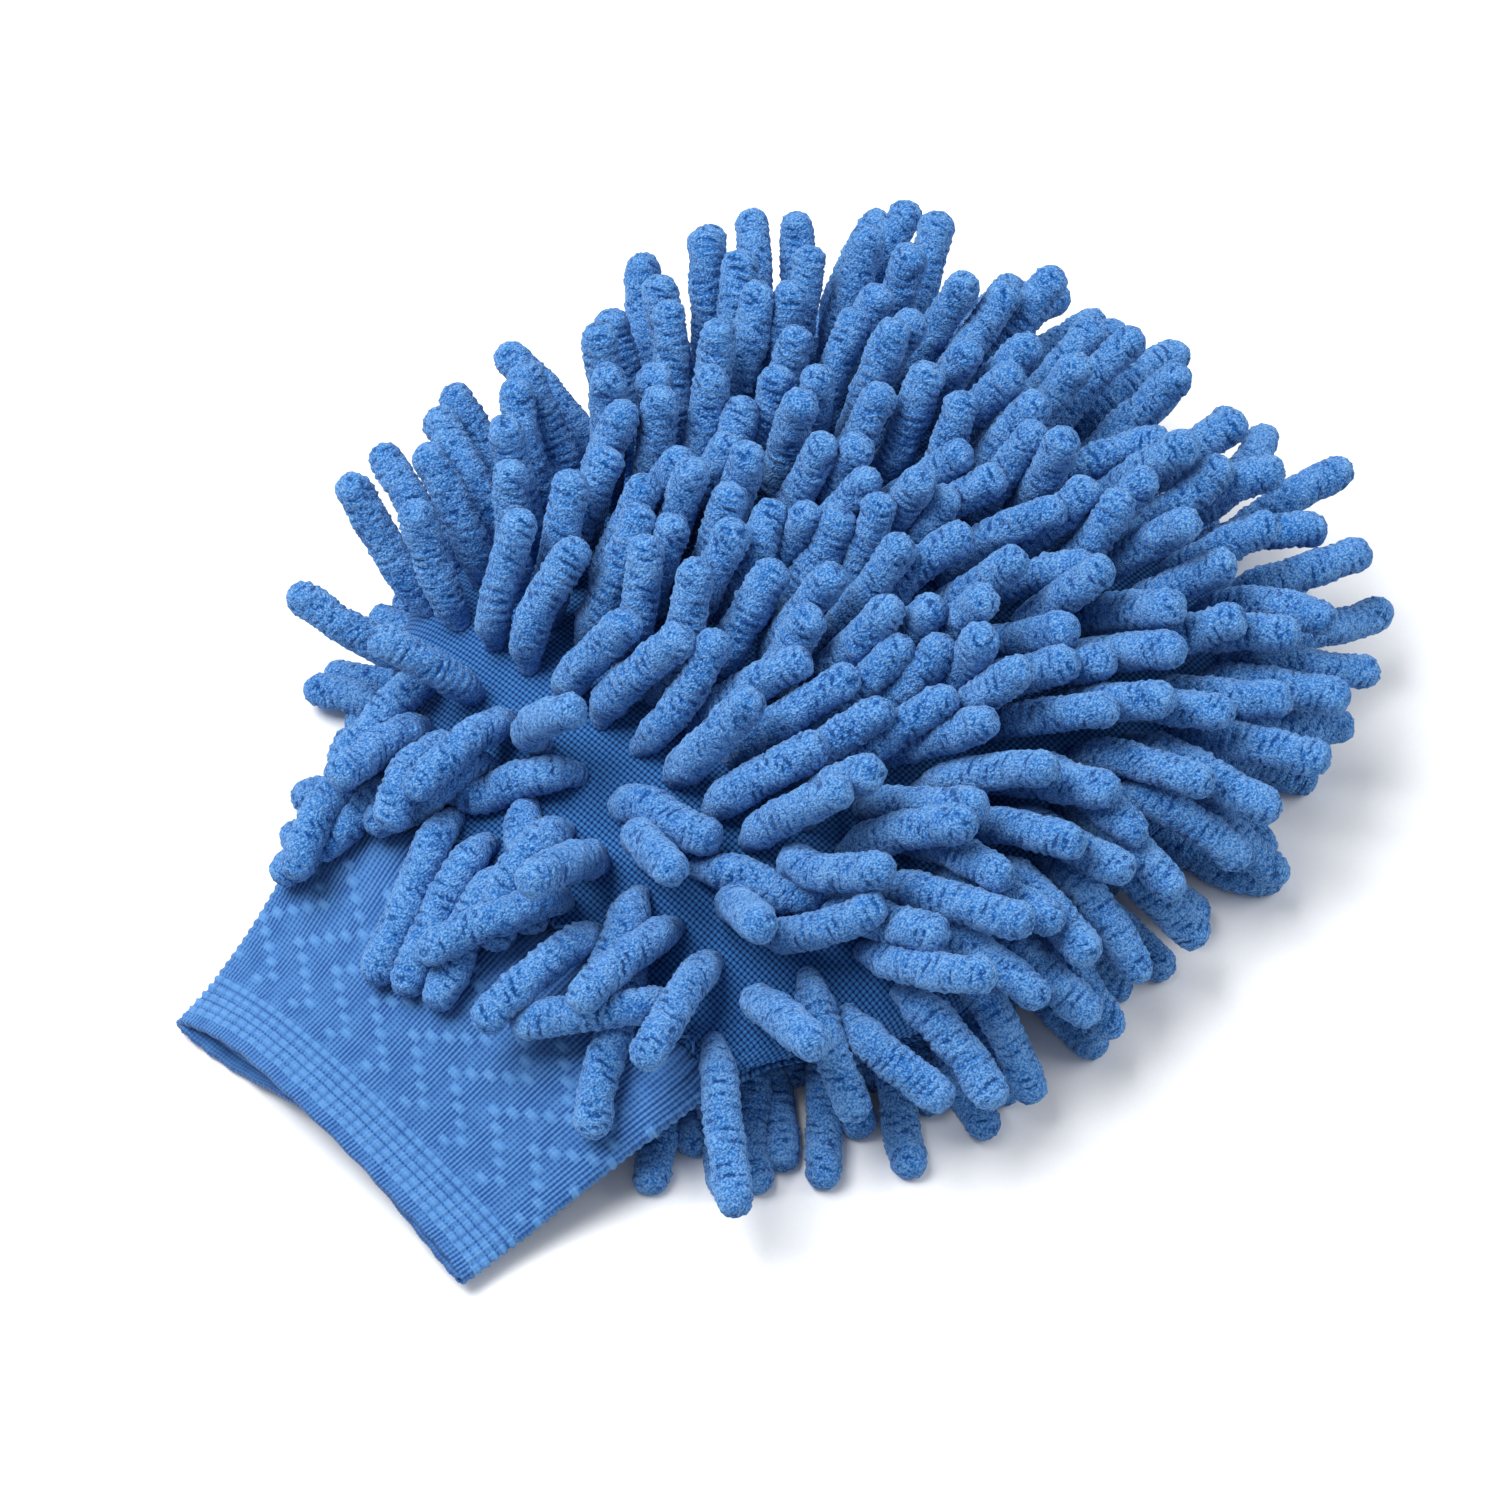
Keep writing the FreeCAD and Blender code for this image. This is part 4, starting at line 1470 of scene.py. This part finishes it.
@dataclass
class Seams:
    """Every line of thread in the mitt, and the allowances it holds."""

    pocket: PocketForm
    cuff: CuffForm
    knit: KnitCuff
    cloth: float = 1.1 * MM
    pitch: float = 3.0 * MM
    row_margin: float = 0.16          # angle left bare at each end of a chain row, in radians
    elastic_count: int = 10
    elastic_radius: float = 0.3 * MM

    def rim(self, inset: float) -> Array:
        """The pocket's outline in the seam plane, from mouth to mouth, inside by inset."""
        pocket = self.pocket
        bend = np.linspace(0, math.pi / 2, 240)
        shoulder = pocket.tip_x - pocket.tip_corner
        straight = np.linspace(pocket.mouth_x + 4.5 * MM, shoulder, 300, endpoint=False)
        round_tip = shoulder + pocket.tip_corner * np.sin(bend) ** (2 / pocket.tip_roundness)
        x = np.concatenate([straight, round_tip])
        width = np.maximum(pocket.width_at(x) - inset, 0)
        x = np.minimum(x, pocket.tip_x - inset)
        up = np.stack([x, pocket.middle_y + width, 0 * x + pocket.seam_z], axis=-1)
        down = np.stack([x, pocket.middle_y - width, 0 * x + pocket.seam_z], axis=-1)
        return np.concatenate([up, down[::-1]])

    def perimeter(self, thread: bpy.types.Material, stitcher: Stitcher) -> bpy.types.Object:
        """The side and tip seam: the allowance inside, its overlock, and the joining stitches."""
        outside, run = even_steps(self.rim(1.0 * MM), self.pitch)
        up = np.tile([0.0, 0.0, 1.0], (len(outside), 1))
        away = unit(np.cross(run, up))
        ladder = stitcher.sew("ladder", outside, up + 0.45 * run, away, 1.15)
        inside, run_in = even_steps(self.rim(3.4 * MM), self.pitch * 0.8)
        up_in = np.tile([0.0, 0.0, 1.0], (len(inside), 1))
        across = unit(np.cross(run_in, up_in))
        lift, slant = np.array([0, 0, 0.8 * MM]), 0.35 * run_in
        tops = stitcher.sew("overlock_top", inside + lift, across + slant, up_in, 1.6)
        unders = stitcher.sew("overlock_under", inside - lift, across - slant, -up_in, 1.6)
        band = self.allowance()
        seam = join([band, ladder, tops, unders], "pocket_seam")
        dress(seam, thread)
        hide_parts("perimeter_seam")
        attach(seam, "pocket")
        return seam

    def allowance(self) -> bpy.types.Object:
        """The two cloth edges that the overlock holds together."""
        obj, first, second = grid_sheet("allowance", 260, 6)
        outer, inner = self.rim(1.3 * MM), self.rim(5.0 * MM)
        place = first * (len(outer) - 1)
        low = np.clip(np.floor(place).astype(int), 0, len(outer) - 2)
        part = (place - low)[:, None]
        edge = outer[low] * (1 - part) + outer[low + 1] * part
        core = inner[low] * (1 - part) + inner[low + 1] * part
        frill = 0.35 * MM * np.sin(first * 520) * second
        points = edge + (core - edge) * second[:, None]
        points[:, 2] += 0.7 * MM + frill
        set_points(obj, points)
        set_uv(obj, np.stack([first * 0.5, second * 4 * MM], axis=-1))
        merge_doubles(obj, 0.01 * MM)
        face_outwards(obj, points_of(obj) - [0, 0, 1])
        thicken(obj, 1.4 * MM)
        smooth(obj)
        return obj

    def mouth(self, thread: bpy.types.Material, stitcher: Stitcher) -> bpy.types.Object:
        """The gathered join of cuff and pocket: zigzag stitches round the mouth."""
        angle = np.linspace(0, TURN, 1200)
        x = self.pocket.mouth_x + 1.4 * MM
        path = self.pocket.point(np.full(len(angle), x), angle)
        places, run = even_steps(path, 2.4 * MM)
        _, outwards = self.pocket.outward(places)
        zigzag = np.where(np.arange(len(places)) % 2 == 0, 1.0, -1.0)[:, None]
        along_x = np.tile([1.0, 0.0, 0.0], (len(places), 1))
        raised = places + outwards * 0.3 * MM
        outer = stitcher.sew("zigzag", raised, run + along_x * zigzag, outwards, 1.3)
        inner_path = self.pocket.point(np.full(len(angle), x + 1.2 * MM), angle, 2.2 * MM)
        inside, run_in = even_steps(inner_path, 2.0 * MM)
        _, out_in = self.pocket.outward(inside)
        slanted = np.tile([1.0, 0, 0], (len(inside), 1)) + 0.3 * run_in
        lock = stitcher.sew("mouth_overlock", inside, slanted, -out_in, 1.7)
        seam = join([outer, lock], "cuff_join_stitching")
        dress(seam, thread)
        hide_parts("cuff_seam")
        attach(seam, "pocket")
        return seam

    def rows(
        self, side: Side, row_places: Array, thread: bpy.types.Material, stitcher: Stitcher
    ) -> bpy.types.Object:
        """The chain stitches that hold the finger rows, inside the pocket."""
        places, ways, ups = [], [], []
        angle = side.value * np.linspace(self.row_margin, math.pi - self.row_margin, 500)
        for x in row_places:
            path = self.pocket.point(np.full(len(angle), x), angle, self.cloth + 0.1 * MM)
            spots, run = even_steps(path, self.pitch)
            _, outwards = self.pocket.outward(spots)
            places.append(spots)
            ways.append(run)
            ups.append(-outwards)
        laid = [np.concatenate(part) for part in (places, ways, ups)]
        piece = stitcher.sew(f"{side.word}_chain_stitching", *laid, 1.35)
        dress(piece, thread)
        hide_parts(f"{side.word}_row_stitching")
        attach(piece, "pocket")
        return piece

    def cuff_side(self, thread: bpy.types.Material, stitcher: Stitcher) -> bpy.types.Object:
        """The overlocked seam that closes the cuff's strip, inside its -Y edge."""
        form = self.cuff
        x = np.linspace(form.root_x - 1 * MM, form.hem_x + 1.5 * MM, 200)
        edge = form.point(x, np.full(len(x), math.pi))
        path = edge + [0, 2.6 * MM, 0]
        places, run = even_steps(path, 2.2 * MM)
        across = np.tile([0.0, 1.0, 0.0], (len(places), 1))
        up = np.tile([0.0, 0.0, 1.0], (len(places), 1))
        lift, slant = np.array([0, 0, 0.25 * MM]), 0.3 * run
        tops = stitcher.sew("cuff_overlock", places + lift, across + slant, up, 1.2)
        unders = stitcher.sew("cuff_overlock_under", places - lift, across - slant, -up, 1.2)
        seam = join([tops, unders], "cuff_side_stitching")
        dress(seam, thread)
        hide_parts("cuff_side_seam")
        bend_with_cuff(seam)
        return seam

    def elastics(self, material: bpy.types.Material) -> bpy.types.Object:
        """The covered elastic threads that run round inside the cuff."""
        low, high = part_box("cuff_elastic_threads")
        half = 0.4 * MM
        rings = []
        for number in range(self.elastic_count):
            x = low.x + half + (high.x - low.x - 2 * half) * number / (self.elastic_count - 1)
            rings.append(self.elastic_ring(x))
        piece = join(rings, "cuff_elastics")
        smooth(piece)
        dress(piece, material)
        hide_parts("cuff_elastic_threads")
        bend_with_cuff(piece)
        return piece

    def elastic_ring(self, x: float) -> bpy.types.Object:
        """One elastic thread, laid against the cuff's inner face."""
        deselect()
        minor = 0.25
        bpy.ops.mesh.primitive_torus_add(
            major_segments=140, minor_segments=6, major_radius=1.0, minor_radius=minor
        )
        ring = bpy.context.object
        flat = points_of(ring)
        angle = np.arctan2(flat[:, 1], flat[:, 0])
        reach = (np.hypot(flat[:, 0], flat[:, 1]) - 1.0) / minor
        side = flat[:, 2] / minor
        radius = self.elastic_radius
        at = np.full(len(angle), x)
        centre = self.cuff.point(at, angle)
        ahead = self.cuff.point(at, angle + 0.004) - self.cuff.point(at, angle - 0.004)
        outwards = unit(np.cross(ahead, np.tile([-1.0, 0.0, 0.0], (len(at), 1))))
        middle = self.cuff.point(at, 0 * angle)[:, 2]
        hub = np.stack([at, 0 * at + self.pocket.middle_y, middle], axis=-1)
        if (outwards * (centre - hub)).sum() < 0:
            outwards = -outwards
        depth = self.knit.thickness + 0.15 * MM
        placed = centre + outwards * (reach * radius - depth)[:, None]
        placed[:, 0] += side * radius
        set_points(ring, placed)
        return ring


# ---------------------------------------------------------------- studio


@dataclass(frozen=True)
class Studio:
    """Camera, soft lights and a pale floor."""

    azimuth: float = -46.0
    elevation: float = 55.0
    lens: float = 85.0
    distance: float = 0.72
    aim: tuple[float, float, float] = (-0.004, 0.0, 0.022)

    def camera(self) -> None:
        """Place the camera on its viewing angle."""
        data = bpy.data.cameras.new("camera")
        data.lens = self.lens
        camera = bpy.data.objects.new("camera", data)
        bpy.context.scene.collection.objects.link(camera)
        azimuth, elevation = math.radians(self.azimuth), math.radians(self.elevation)
        level = math.cos(elevation)
        away = Vector((math.sin(azimuth) * level, -math.cos(azimuth) * level, math.sin(elevation)))
        camera.location = Vector(self.aim) + away * self.distance
        camera.rotation_euler = away.to_track_quat("Z", "Y").to_euler()
        bpy.context.scene.camera = camera

    def light(self, name: str, place: tuple[float, float, float], size: float, power: float) -> None:
        """One soft square light that looks at the mitt."""
        data = bpy.data.lights.new(name, "AREA")
        data.size = size
        data.energy = power
        lamp = bpy.data.objects.new(name, data)
        bpy.context.scene.collection.objects.link(lamp)
        lamp.location = place
        lamp.rotation_euler = Vector(place).to_track_quat("Z", "Y").to_euler()

    def lights(self) -> None:
        """A large key over the far side, a fill from the near side and a bright surround."""
        self.light("key", (-0.30, 0.45, 1.15), 0.8, 21.5)
        self.light("fill", (0.9, -0.7, 0.8), 1.0, 8.0)
        world = bpy.data.worlds.new("surround")
        world.use_nodes = True
        background = world.node_tree.nodes["Background"].inputs
        background["Color"].default_value = (0.93, 0.96, 1.0, 1.0)
        background["Strength"].default_value = 0.38
        bpy.context.scene.world = world
        bpy.context.scene.view_settings.view_transform = "Standard"

    def floor(self) -> None:
        """A pale floor under the mitt."""
        deselect()
        bpy.ops.mesh.primitive_plane_add(size=8.0)
        floor = bpy.context.object
        floor.name = "floor"
        material = bpy.data.materials.new("floor_paper")
        material.use_nodes = True
        graph = Graph(material.node_tree)
        shader = material.node_tree.nodes["Principled BSDF"]
        shader.inputs["Roughness"].default_value = 0.9
        place = graph.node("ShaderNodeTexCoord").outputs["Object"]
        grain = graph.noise(place, 900.0, 2.0)
        graph.link(graph.mix(grain, (0.86, 0.87, 0.88), (0.90, 0.905, 0.91)), shader.inputs["Base Color"])
        floor.data.materials.append(material)


# ---------------------------------------------------------------- the mitt


@dataclass
class WashMitt:
    """The whole mitt, built in order: pile, panels, cuff and seams."""

    def finishes(self) -> None:
        """Make every material once."""
        pile, weave = pile_group(), weave_group()
        # Chenille colours: painted shade in the cracks, the pile's own blue, and a partly painted highlight on
        # raised tufts.
        self.chenille = ChenilleFinish(
            "chenille_pile", (0.001, 0.040, 0.20), (0.015, 0.142, 0.475), (0.170, 0.385, 0.74),
            sheen=0.38, sheen_roughness=0.36, sheen_tint=(0.50, 0.72, 1.0), specular=0.1,
        ).build(pile)
        # Weave colours: painted shade in the gaps, the cloth's own blue, and a partly painted highlight on
        # raised yarns.
        self.weave = WeaveFinish(
            "base_weave", (0.001, 0.016, 0.09), (0.010, 0.080, 0.30), (0.050, 0.200, 0.50),
            sheen=0.12,
        ).build(weave, pile)
        # Knit colours: painted shade in the grooves, the knit's own blue, and a partly painted highlight on rib
        # crests.
        self.knit_finish = KnitFinish(
            "cuff_knit", (0.010, 0.070, 0.28), (0.070, 0.228, 0.54), (0.118, 0.308, 0.64),
            sheen=0.3, roughness=0.8, specular=0.35,
        ).build(weave, pile)
        self.thread = ThreadFinish(
            "sewing_thread", (0.05, 0.18, 0.50), (0.08, 0.25, 0.6), (0.17, 0.40, 0.78), roughness=0.6,
        ).build(pile)
        self.elastic = ThreadFinish(
            "elastic_thread", (0.06, 0.2, 0.52), (0.1, 0.28, 0.62), (0.2, 0.43, 0.8),
            roughness=0.55, twist=3800.0,
        ).build(pile)

    def build(self) -> None:
        """Build every piece."""
        self.finishes()
        pocket = PocketForm.from_frame()
        cuff = CuffForm.from_frame(pocket)
        pile = Pile(pocket, cuff, Comb())
        rows = pile.build(self.chenille)
        panels = {side: Panel(side, pocket).build(self.weave) for side in Side}
        knit = KnitCuff(cuff)
        knit_piece = knit.build(self.knit_finish)
        seams = Seams(pocket, cuff, knit)
        stitcher = Stitcher()
        seam = seams.perimeter(self.thread, stitcher)
        mouth = seams.mouth(self.thread, stitcher)
        chains = {}
        for side in Side:
            spots = [pile.roots[members][:, 0].mean() for _, face, members in pile.rows if face is side]
            chains[side] = seams.rows(side, np.array(spots), self.thread, stitcher)
        closing = seams.cuff_side(self.thread, stitcher)
        elastics = seams.elastics(self.elastic)
        for piece in (seam, mouth, chains[Side.BACK], chains[Side.PALM], closing, elastics):
            LOG.info("%s: %d faces", piece.name, len(piece.data.polygons))


def main() -> None:
    """Build the studio and the mitt, and report each piece."""
    logging.basicConfig(level=logging.INFO, format="%(name)s %(message)s")
    studio = Studio()
    studio.camera()
    studio.lights()
    studio.floor()
    WashMitt().build()


if __name__ == "__main__":
    main()
